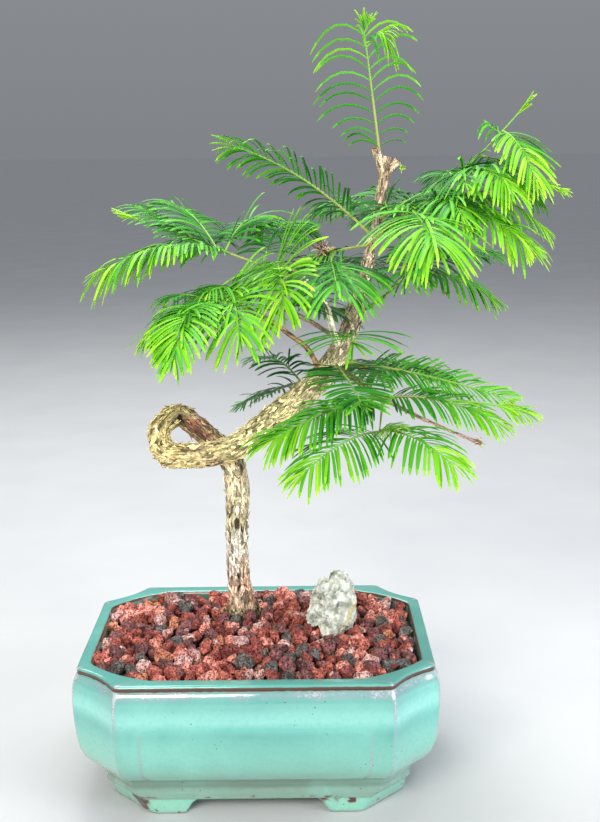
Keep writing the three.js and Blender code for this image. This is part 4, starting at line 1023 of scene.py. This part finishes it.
# Foliage. Each mass is a family of shoots, as in the solids. A shoot leaves a bough's tip, a place, or
# another shoot of its mass at a share of that one's length. A share alone is of the shoot main. A row
# gives a shoot's base, its heading in degrees from +X towards +Y, its rise in degrees above the level,
# its length, the length of its longest needles, and how far they hang. A mass gives its tone, which
# runs from the dark blue green of shade to the yellow green of new growth. The rest stands here, as
# it is where no row says more:
# bow: how far the shoot arches up in its middle
# bare, stop: the shares of its length where its needles begin and end
# roll: how far its flat is turned about it, in degrees
# lean, end: how far its needles point away from it at its root and at its tip, in degrees
# vee, bend: how much they stand up at the root, and how curved they are
# full: their share of the longest at its root, middle and tip
# uneven: how much longer they are on its right than on its left
# pitch, slim: the distance between their pairs, before NEEDLE's packed, and their share of the width
# fade: how much their tone rises from root to tip
# crest: the share of pairs with one more needle over the shoot
# tuft, bud: the size of the tuft at its tip, and 1 where that is a closed bud
SHOOT = dict(bow=0, bare=0.08, stop=1, roll=0, lean=72, end=30, vee=0, bend=0.5, full=(0.8, 1, 0.66),
             uneven=0, pitch=2.9, slim=1, tone=None, fade=2, crest=0.12, tuft=1, bud=0)
# A needle is that wide where it has its usual length. Towards its tip it is one tone brighter.
NEEDLE = dict(width=1.68, usual=22, thick=0.5, packed=0.82, twist=0.22, brightest=5.8)
# A needle's rings: how far along it, and the share of its width there
NEEDLE_RINGS = [(0, 0.35), (0.12, 0.75), (0.3, 0.97), (0.5, 1), (0.7, 1), (0.86, 0.9), (0.95, 0.62), (1, 0.2)]
TWIG = dict(root=0.95, tip=0.34, sunk=2.5, sides=7, step=4)
GREENS = ["0f3218", "154a1a", "1e661c", "30861c", "4ca31a", "6eba18", "90ca24", "acd834", "d0ea64"]
TWIG_COLOURS = ["a0a85c", "80ac44", "70b83a"]


class Shoot:
    """One shoot of a mass: a curve, and needles in pairs along it."""

    def __init__(self, base, heading, rise, long, needle, hang, **more):
        self.base = ("main", base) if isinstance(base, (int, float)) else base
        self.long, self.longest, self.hang = long, needle, hang
        self.heading, self.rise = math.radians(heading), math.radians(rise)
        self.on_shoot = isinstance(self.base, tuple) and len(self.base) == 2
        for name, value in {**SHOOT, **more}.items():
            setattr(self, name, value)

    def root(self, family):
        if self.on_shoot:
            return family[self.base[0]].at(self.base[1])
        if isinstance(self.base, str):
            line, _ = threaded(BOUGHS[self.base][1:], 1)
            return line[-1, :3] + unit(line[-4, :3] - line[-1, :3]) * TWIG["sunk"]
        return np.array(self.base, float)

    def grow(self, family, tone):
        """Fixes the curve, and the mass's tone where the shoot has none of its own."""
        self.tone = tone if self.tone is None else self.tone
        start = self.root(family)
        level = math.cos(self.rise)
        ahead = [math.cos(self.heading) * level, math.sin(self.heading) * level, math.sin(self.rise)]
        end = start + np.array(ahead) * self.long
        self.marks = (start, (start + end) / 2 + UP * 2 * self.bow, end)

    def at(self, t):
        return curve(*self.marks, t)[0]

    def frame(self, t):
        """Along the shoot, up, and across to its right."""
        _, along = curve(*self.marks, t)
        up = unit(UP - along * along[2])
        up = turned(up, np.cross(along, up), math.radians(self.roll))
        return along, up, np.cross(along, up)

    def radius(self, t):
        return mix(TWIG["root"] * (0.75 if self.on_shoot else 1), TWIG["tip"], t)

    def pairs(self):
        """Where the pairs of needles stand, as shares of the length."""
        count = round(self.long * max(0, self.stop - self.bare) / (self.pitch * NEEDLE["packed"]))
        return [mix(self.bare, self.stop - 0.03, (i + 0.5) / count) for i in range(count)]

    def blade(self, t, out, up, length, hang, rng):
        """A needle: its root, middle and tip, its up, its tone and its share of the width."""
        root = self.at(t)
        out = unit(out - UP * 0.45 * (1 - self.bend) * hang)
        middle = out * 0.5 - UP * 0.08 * self.bend * hang
        tip = out * 0.94 - UP * (0.1 + 0.45 * self.bend) * hang
        whole = np.linalg.norm(middle) + np.linalg.norm(tip - middle)
        tone = self.tone + self.fade * (t - 0.45) + rng.gauss(0, 0.45)
        return root, root + middle * length / whole, root + tip * length / whole, up, tone, self.slim

    def paired_needle(self, t, side, rng):
        along, up, across = self.frame(t)
        lean = math.radians(mix(self.lean, self.end, t**2) + (rng.random() - 0.5) * 12)
        fullness = np.interp(t, [0, 0.45, 1], self.full) * (1 + side * self.uneven)
        length = self.longest * fullness * mix(0.88, 1.08, rng.random())
        lift = 0.2 + self.vee * (1 - t) ** 2 + (rng.random() - 0.5) * 0.24
        out = unit(turned(along, across * side, lean) + up * lift)
        hang = self.hang * mix(0.7, 1.1, t) * mix(0.8, 1.2, rng.random())
        return self.blade(t, out, up, length, hang, rng)

    def crest_needle(self, t, rng):
        """A needle that leans forward over the shoot and hides it."""
        along, up, across = self.frame(t)
        lean, turn = math.radians(mix(24, 52, rng.random())), (rng.random() - 0.5) * 2.4
        out = unit(turned(along, turned(up, across, turn), lean))
        length = self.longest * mix(0.6, 0.85, rng.random())
        return self.blade(t, out, up, length, self.hang * mix(0.7, 1.2, rng.random()), rng)

    def tip_needles(self, rng):
        """A tuft of short new needles round the tip, longer and closed where it is a bud."""
        along, up, across = self.frame(1)
        made = []
        for i in range(16 if self.bud else 7):
            turn = 2.4 * i + rng.random() * 0.6
            lean = math.radians(mix(3, 11, rng.random()) if self.bud else mix(8, 34, rng.random()))
            out = unit(turned(along, turned(across, up, turn), lean))
            share = mix(0.5, 0.75, rng.random()) if self.bud else mix(0.3, 0.55, rng.random())
            at = mix(0.93, 1, rng.random()) if self.bud else 1
            blade = [*self.blade(at, out, up, self.longest * self.tuft * share, 0.4 * self.hang, rng)]
            blade[4] += 0.4 + 2 * self.bud
            made.append(blade)
        return made


MASSES = {
    "leader": (2.8, dict(
        lead=Shoot((74.4, 24.6, 364), -146, 80.5, 74, 41, 1, bow=0.8, bare=0.06, roll=40, lean=60, end=52,
            bend=1, full=(0.36, 0.9, 0.85), uneven=0.12, pitch=8, slim=0.76, tone=3.5, fade=2.6,
            crest=0.1, tuft=0.5),
        top=Shoot(("lead", 0.88), -24, 24, 8, 31, 2.3, bare=0, lean=50, bend=1, pitch=1.8, slim=0.72,
            tone=4.1),
        tip=Shoot(("lead", 0.96), -40, 60, 5, 12, 0.3, bare=0, lean=40, end=24, pitch=1.2, slim=0.72,
            tone=4.6))),
    "upper_left": (2.8, dict(
        main=Shoot((69.5, 25, 321), -169, 33, 95, 30, 0.75, bow=7, bare=0.14, roll=24, lean=54, bend=0.7,
            pitch=3.9, slim=0.85, tone=3.1))),
    "left_high": (2.8, dict(
        main=Shoot("left_pale", 172, 20, 108, 18, 0.5, bare=0.42, stop=0.84, bud=1),
        front=Shoot(0.42, -154, -3, 72, 36, 1.4, bow=8, roll=14, lean=68, end=44,
            full=(0.4, 0.8, 0.95), pitch=2.1, tone=4.2, crest=0.5),
        rear=Shoot(0.62, 137, 20, 47, 29, 0.9, bow=2, roll=15, pitch=2.2, tone=3.2),
        rearmost=Shoot(0.5, 122, 23, 57, 31, 0.9, bow=5, roll=15, pitch=2.2, tone=3.2),
        inner=Shoot(0.45, 59, 15, 44, 29, 1, bow=10, roll=-15, pitch=2.2, tone=3.2),
        crossing=Shoot(0.24, 68, 11, 68, 25, 1, bow=15, pitch=2.3))),
    "left_front": (5, dict(
        main=Shoot((29.6, 5.4, 300.8), -168, 25, 17.5, 20, 0.8, bare=1),
        front=Shoot(1, -85, -20, 52, 37, 0.65, bow=6, bare=0, roll=42, lean=92, end=22, vee=0.5,
            full=(0.95, 1, 0.8), pitch=2.2, fade=0.8, crest=0.5))),
    "left_middle": (3.8, dict(
        main=Shoot("left_grey", -163, 20, 37, 24, 0.8, bow=2, bare=0.3, tone=3.2),
        front=Shoot(0.96, -81, -19, 51, 36, 0.9, bow=6, bare=0, roll=24, lean=90, end=24,
            vee=0.6, full=(0.85, 1, 0.8), pitch=2.3, tone=4.5, fade=1, crest=0.5),
        inner=Shoot(0.05, 40, -8, 44, 30, 0.8, bow=3, pitch=2.2, tone=2.2, crest=0.4),
        rear=Shoot(0.7, 118, -4, 40, 26, 0.9, bow=4, tone=2.6),
        side=Shoot(0.8, -128, 6, 26, 22, 1.1, bow=3, tone=3.4))),
    "left_low": (4.4, dict(
        main=Shoot("left_low", -142, 6, 40, 24, 1, bow=5, bare=0.5, tone=3.6),
        side=Shoot(0.96, -158, -30, 30, 22, 1.2, bow=4, lean=54, pitch=2.4, crest=0.3),
        front=Shoot(1, -118, -38, 30, 23, 0.9, bow=3, bare=0, roll=8, lean=56, end=18,
            pitch=2.3, fade=1, crest=0.4),
        near=Shoot(0.9, -100, -26, 50, 27, 0.9, bow=4, bare=0, roll=8, lean=64, end=18, vee=0.3,
            pitch=2.2, fade=1, crest=0.5),
        rear=Shoot(0.7, 150, 0, 28, 21, 1, bow=3, tone=3),
        inner=Shoot(0.5, -100, -10, 30, 22, 1.2, bow=3, tone=3.2))),
    "centre": (3.4, dict(
        main=Shoot((69.6, 24.5, 316), -152, -8, 42, 18, 0.6, bow=1, bare=0.5),
        rear=Shoot(0.35, 165, -22, 46, 26, 0.9, bow=3, tone=1.8),
        front=Shoot(0.68, -88, -13, 60, 37, 1, bow=1, bare=0.3, lean=84, end=24,
            full=(0.9, 1, 0.85), pitch=2.1, tone=2.9, fade=1, crest=0.6))),
    "fork": (3, dict(
        main=Shoot((54, 22, 259), -88, 9, 50, 36, 0.6, bow=5, bare=0.62, lean=92, end=56,
            full=(1, 1, 0.8), pitch=3, tuft=1.4))),
    "right_high": (4, dict(
        main=Shoot("right_high", -12, 44, 80, 16, 0.4, bow=-3, bare=0.3, stop=0.5, tone=4.4, bud=1),
        curl=Shoot(0.78, 160, 34, 7, 20, 1.3, bare=0, lean=60, bend=1, pitch=3, tone=3.4,
            tuft=0.5),
        outer=Shoot(0.8, -62, -40, 40, 27, 0.9, bow=5, lean=60, pitch=2.5, tone=4.6, crest=0.3),
        lower=Shoot(0.38, -60, -8, 46, 31, 1.1, bow=7, lean=68, pitch=2.4, tone=4.4, crest=0.4),
        rear=Shoot(0.58, 27, -32, 47, 27, 1.1, bow=5, tone=2.8),
        inner=Shoot(0.3, -84, 2, 34, 27, 1.1, bow=5, roll=20, tone=2.8),
        left=Shoot(0.34, 98, 0, 30, 21, 1, bow=4, tone=2.8))),
    "right_middle": (4.2, dict(
        main=Shoot("right_high", -47, -12, 75, 37, 1.1, bow=8, bare=0.16, lean=68, pitch=2.3, crest=0.6),
        upper=Shoot(0.14, -12, -10, 61, 30, 1.1, bow=11),
        tip=Shoot(("upper", 0.4), -19, 4, 45, 19, 0.6, bow=4, lean=50, pitch=2.2, tone=5.2, crest=0.8),
        inner=Shoot(0.1, -74, -4, 46, 31, 1.2, bow=7, tone=3.4, crest=0.3))),
    "right_front": (4.2, dict(
        main=Shoot((73.5, 25, 331), -62, 14, 34, 28, 0.8, bow=1, bare=0.3, tone=3.2),
        front=Shoot(0.9, -81, -15, 62, 40, 1.05, bow=3, bare=0.3, lean=82, end=22, vee=0.2,
            full=(0.9, 1, 0.85), pitch=2.2, fade=1, crest=0.5),
        rear=Shoot(0.5, 28, 16, 40, 28, 1, bow=4, tone=2.8),
        upper=Shoot(0.3, 96, 22, 34, 26, 1.1, bow=4, tone=2.6))),
    "right_inner": (2.4, dict(
        main=Shoot("right_inner", -24, -11, 52, 29, 1.1, bow=6, bare=0.14, pitch=2.6, tone=3.4),
        rear=Shoot(0.08, 34, 8, 64, 26, 1, bow=6),
        upper=Shoot(0.04, 70, 26, 40, 24, 0.8, bow=3),
        left=Shoot(0.03, -96, 2, 32, 26, 1, bow=4))),
    "low_left": (3.8, dict(
        main=Shoot("right_low", -146, -10, 77, 32, 0.95, bow=4, bare=0.1, roll=-8, lean=60, end=24,
            full=(0.8, 1, 0.8), pitch=2.3, tone=3.6, fade=2.8, crest=0.3))),
    "low_front": (4, dict(
        main=Shoot("right_low", -99, -34, 27, 20, 0.5, bare=1),
        left=Shoot(1, -133, -10, 65, 33, 1, bow=5, roll=-10, lean=62, end=24, pitch=3, tone=4,
            fade=2.8, crest=0.2),
        right=Shoot(0.96, -50, -9, 57, 31, 1, bow=5, bare=0.18, roll=10, lean=62, end=24,
            pitch=3, tone=4, fade=2.8, crest=0.2),
        bud=Shoot(0.98, -64, 14, 16, 15, 0.9, bare=0, roll=20, pitch=1.6, tone=5.6, fade=0,
            crest=0.8))),
    "fork_low": (2.4, dict(
        main=Shoot((47, 22, 247), -80, -8, 76, 27, 0.3, bow=2, bare=0.14, lean=80, full=(0.8, 1, 0.75),
            pitch=2.05, slim=1.1))),
    "right_low": (2.8, dict(
        main=Shoot((48, 23, 248), -3, -13, 105, 19, 0.4, bow=3, bare=0.2, roll=36, lean=56,
            full=(0.8, 1, 0.9), pitch=3.4, tone=3.6),
        rear=Shoot(0.36, 52, -14, 56, 23, 0.9, bow=4, tone=2))),
    "right_lowest": (3.2, dict(
        main=Shoot("right_low", -22, -8, 69, 26, 0.8, bow=6, bare=0.06, roll=18, lean=58, end=24,
            pitch=2.8, tone=3.7, fade=2.6, crest=0.3),
        tip=Shoot(0.5, -2, -9, 53, 18, 0.8, bow=2, bare=0.64, roll=20, lean=62, end=40,
            pitch=1.7, tone=5.2, fade=1, crest=0.8))),
    "back_left": (2, dict(
        main=Shoot((36, 20, 238), 140, -21, 62, 23, 0.7, bow=1, bare=0.25),
        upper=Shoot(0.2, 136, 18, 36, 23, 0.8, bow=5))),
    "back_high": (2.8, dict(
        main=Shoot("back_high", 82, -2, 58, 28, 1.1, bow=8),
        left=Shoot(0.14, 130, 4, 54, 28, 1.1, bow=8),
        right=Shoot(0.22, 34, 4, 54, 28, 1.1, bow=8),
        near=Shoot(0.06, 8, 18, 36, 26, 1, bow=4))),
    "back_middle": (2.6, dict(
        main=Shoot("back_middle", 104, -12, 56, 28, 1.1, bow=7),
        left=Shoot(0.12, 152, -10, 58, 28, 1.1, bow=7),
        right=Shoot(0.22, 58, -12, 50, 28, 1.1, bow=7))),
    "back_low": (2.6, dict(
        main=Shoot("back_low", 76, -14, 52, 28, 1.1, bow=5),
        left=Shoot(0.12, 122, -14, 52, 28, 1.1, bow=5),
        right=Shoot(0.18, 28, -12, 58, 28, 1.1, bow=6))),
}


def blades(needles, rng):
    """One closed mesh of many needles: keeled strips, narrow at the root and pointed."""
    root, middle, tip, up = (np.array([n[k] for n in needles]) for k in range(4))
    tone = np.array([n[4] for n in needles])
    rings = len(NEEDLE_RINGS)
    u, profile = np.array(NEEDLE_RINGS).T[:, None, :, None]
    knee = 2 * middle - (root + tip) / 2
    line, along = curve(root[:, None], knee[:, None], tip[:, None], u)
    across = unit(np.cross(along, up[:, None]))
    top = np.cross(across, along)
    twist = np.array([rng.gauss(0, NEEDLE["twist"]) for _ in needles])[:, None, None]
    across, top = turned(across, top, twist), turned(top, -across, twist)
    length = np.linalg.norm(tip - root, axis=1)[:, None, None]
    width = np.array([n[5] for n in needles])[:, None, None] * NEEDLE["width"]
    half = width / 2 * profile * np.clip(length / NEEDLE["usual"], 0.6, 1.05)
    thick = NEEDLE["thick"] * np.clip(profile, 0.3, 1)
    section = [line + across * half, line + top * thick * 0.45, line - across * half,
               line - top * thick * 0.55]
    points = np.stack(section, 2)
    faces = strip_faces(len(needles), rings)
    ring_of_face = np.repeat(np.arange(rings - 1), 4)
    step = np.append(np.where(ring_of_face > rings - 4, 1, 0), [0, 1])
    shade = np.round(np.minimum(tone, NEEDLE["brightest"]))[:, None] + step
    shade = np.clip(shade, 0, len(GREENS) - 1).astype(int)
    return points.reshape(-1, 3), faces, shade.ravel()


def make_mass(label, tone, shoots, greens, twigs, seed):
    """The twigs and the needles of a mass."""
    rng = random.Random(seed)
    needles, wood, tubes, tube_shades = [], [], [], []
    for shoot in shoots.values():
        shoot.grow(shoots, tone)
    for shoot in shoots.values():
        places = shoot.pairs()
        for t in places:
            needles += [shoot.paired_needle(t, side, rng) for side in (1, -1)]
            if rng.random() < shoot.crest:
                needles.append(shoot.crest_needle(t, rng))
        if places:
            needles += shoot.tip_needles(rng)
        steps = max(4, round(shoot.long / TWIG["step"]))
        t = np.linspace(0, 1, steps)
        line = shoot.at(t[:, None])
        turn = np.linspace(0, 2 * math.pi, TWIG["sides"], endpoint=False)
        ring = rings_round(line, *frames_along(line)[1:], turn, shoot.radius(t)[:, None])
        first = sum(len(part) for part in wood)
        tubes += [rows + first for rows in closed_tube(steps, TWIG["sides"])]
        wood.append(ring.reshape(-1, 3))
        base = int(shoot.on_shoot)
        by_row = np.clip(base + np.floor(t[:-1] * 2.4), 0, 2)
        tube_shades += [*np.repeat(by_row, TWIG["sides"]), base, 2]
    node = "foliage_" + label
    build("twigs_" + label, np.vstack(wood), tubes, twigs, [node], shades=tube_shades, crease=80)
    points, faces, shades = blades(needles, rng)
    build("needles_" + label, points, [faces], greens, [node], shades=shades, crease=50)


# Clusters of dry scales and small buds: a place, its size, how many scales, and their colours
SCALES = [
    (40, 8, 314.7, 6.5, 44, ["7a4f38", "c79a84", "5a3828", "e0c8b0"]),
    (45, 7.5, 314, 4, 14, ["a8cf4a", "d8e07a", "c7a070"]),
    (133, 10, 200.5, 3.6, 18, ["e6d2ae", "b98a70", "a8c060"]),
    (28, 5, 299, 4.2, 20, ["c9b08a", "8f6a50", "e6d8b8"]),
    (86.8, 24, 359.8, 3.6, 12, ["8fc23a", "b8dc58"]),
    (68, 22, 316, 3.4, 12, ["c79a84", "9a6a54"]),
    (95, 22, 297, 3, 10, ["c79a84", "8a5a48"]),
    (113, 20, 288, 3, 10, ["c79a84", "8a5a48"]),
    (78, 14.5, 226, 3.6, 14, ["b98a70", "7a4f38", "d8c49a"]),
]


def gauss_vector(rng):
    return np.array([rng.gauss(0, 1) for _ in range(3)])


def make_scales():
    """Dry brown scales and small buds where shoots leave the twigs."""
    rng = random.Random(SEEDS["scales"])
    shown = sorted({text for *_, texts in SCALES for text in texts})
    scales, kinds = [], []
    for *place, size, count, texts in SCALES:
        for _ in range(count):
            out = unit(gauss_vector(rng))
            root = place + out * size * 0.25 * rng.random()
            reach = out * size * mix(0.4, 1, rng.random())
            bent = gauss_vector(rng) * size * 0.14
            up = unit(np.cross(out, bent))
            scales.append((root, root + reach * 0.5 + bent, root + reach, up, 0, mix(0.5, 1.1, rng.random())))
            kinds.append(shown.index(rng.choice(texts)))
    points, faces, _ = blades(scales, rng)
    build("dry_scales", points, [faces], [plain_material("scale_" + text, text) for text in shown],
          shades=np.repeat(kinds, len(faces) // len(scales)), crease=50)


def make_foliage():
    greens = [leaf_material(f"needle_green_{i + 1}", text) for i, text in enumerate(GREENS)]
    twigs = [plain_material(f"twig_{i + 1}", text, 0.6) for i, text in enumerate(TWIG_COLOURS)]
    for i, (label, (tone, shoots)) in enumerate(MASSES.items()):
        make_mass(label, tone, shoots, greens, twigs, SEEDS["foliage"] + i)


make_camera()
make_studio()
glaze = glaze_material()
make_pot(glaze)
make_feet(glaze)
make_gravel()
make_stone()
make_trunk()
make_boughs()
make_foliage()
make_scales()
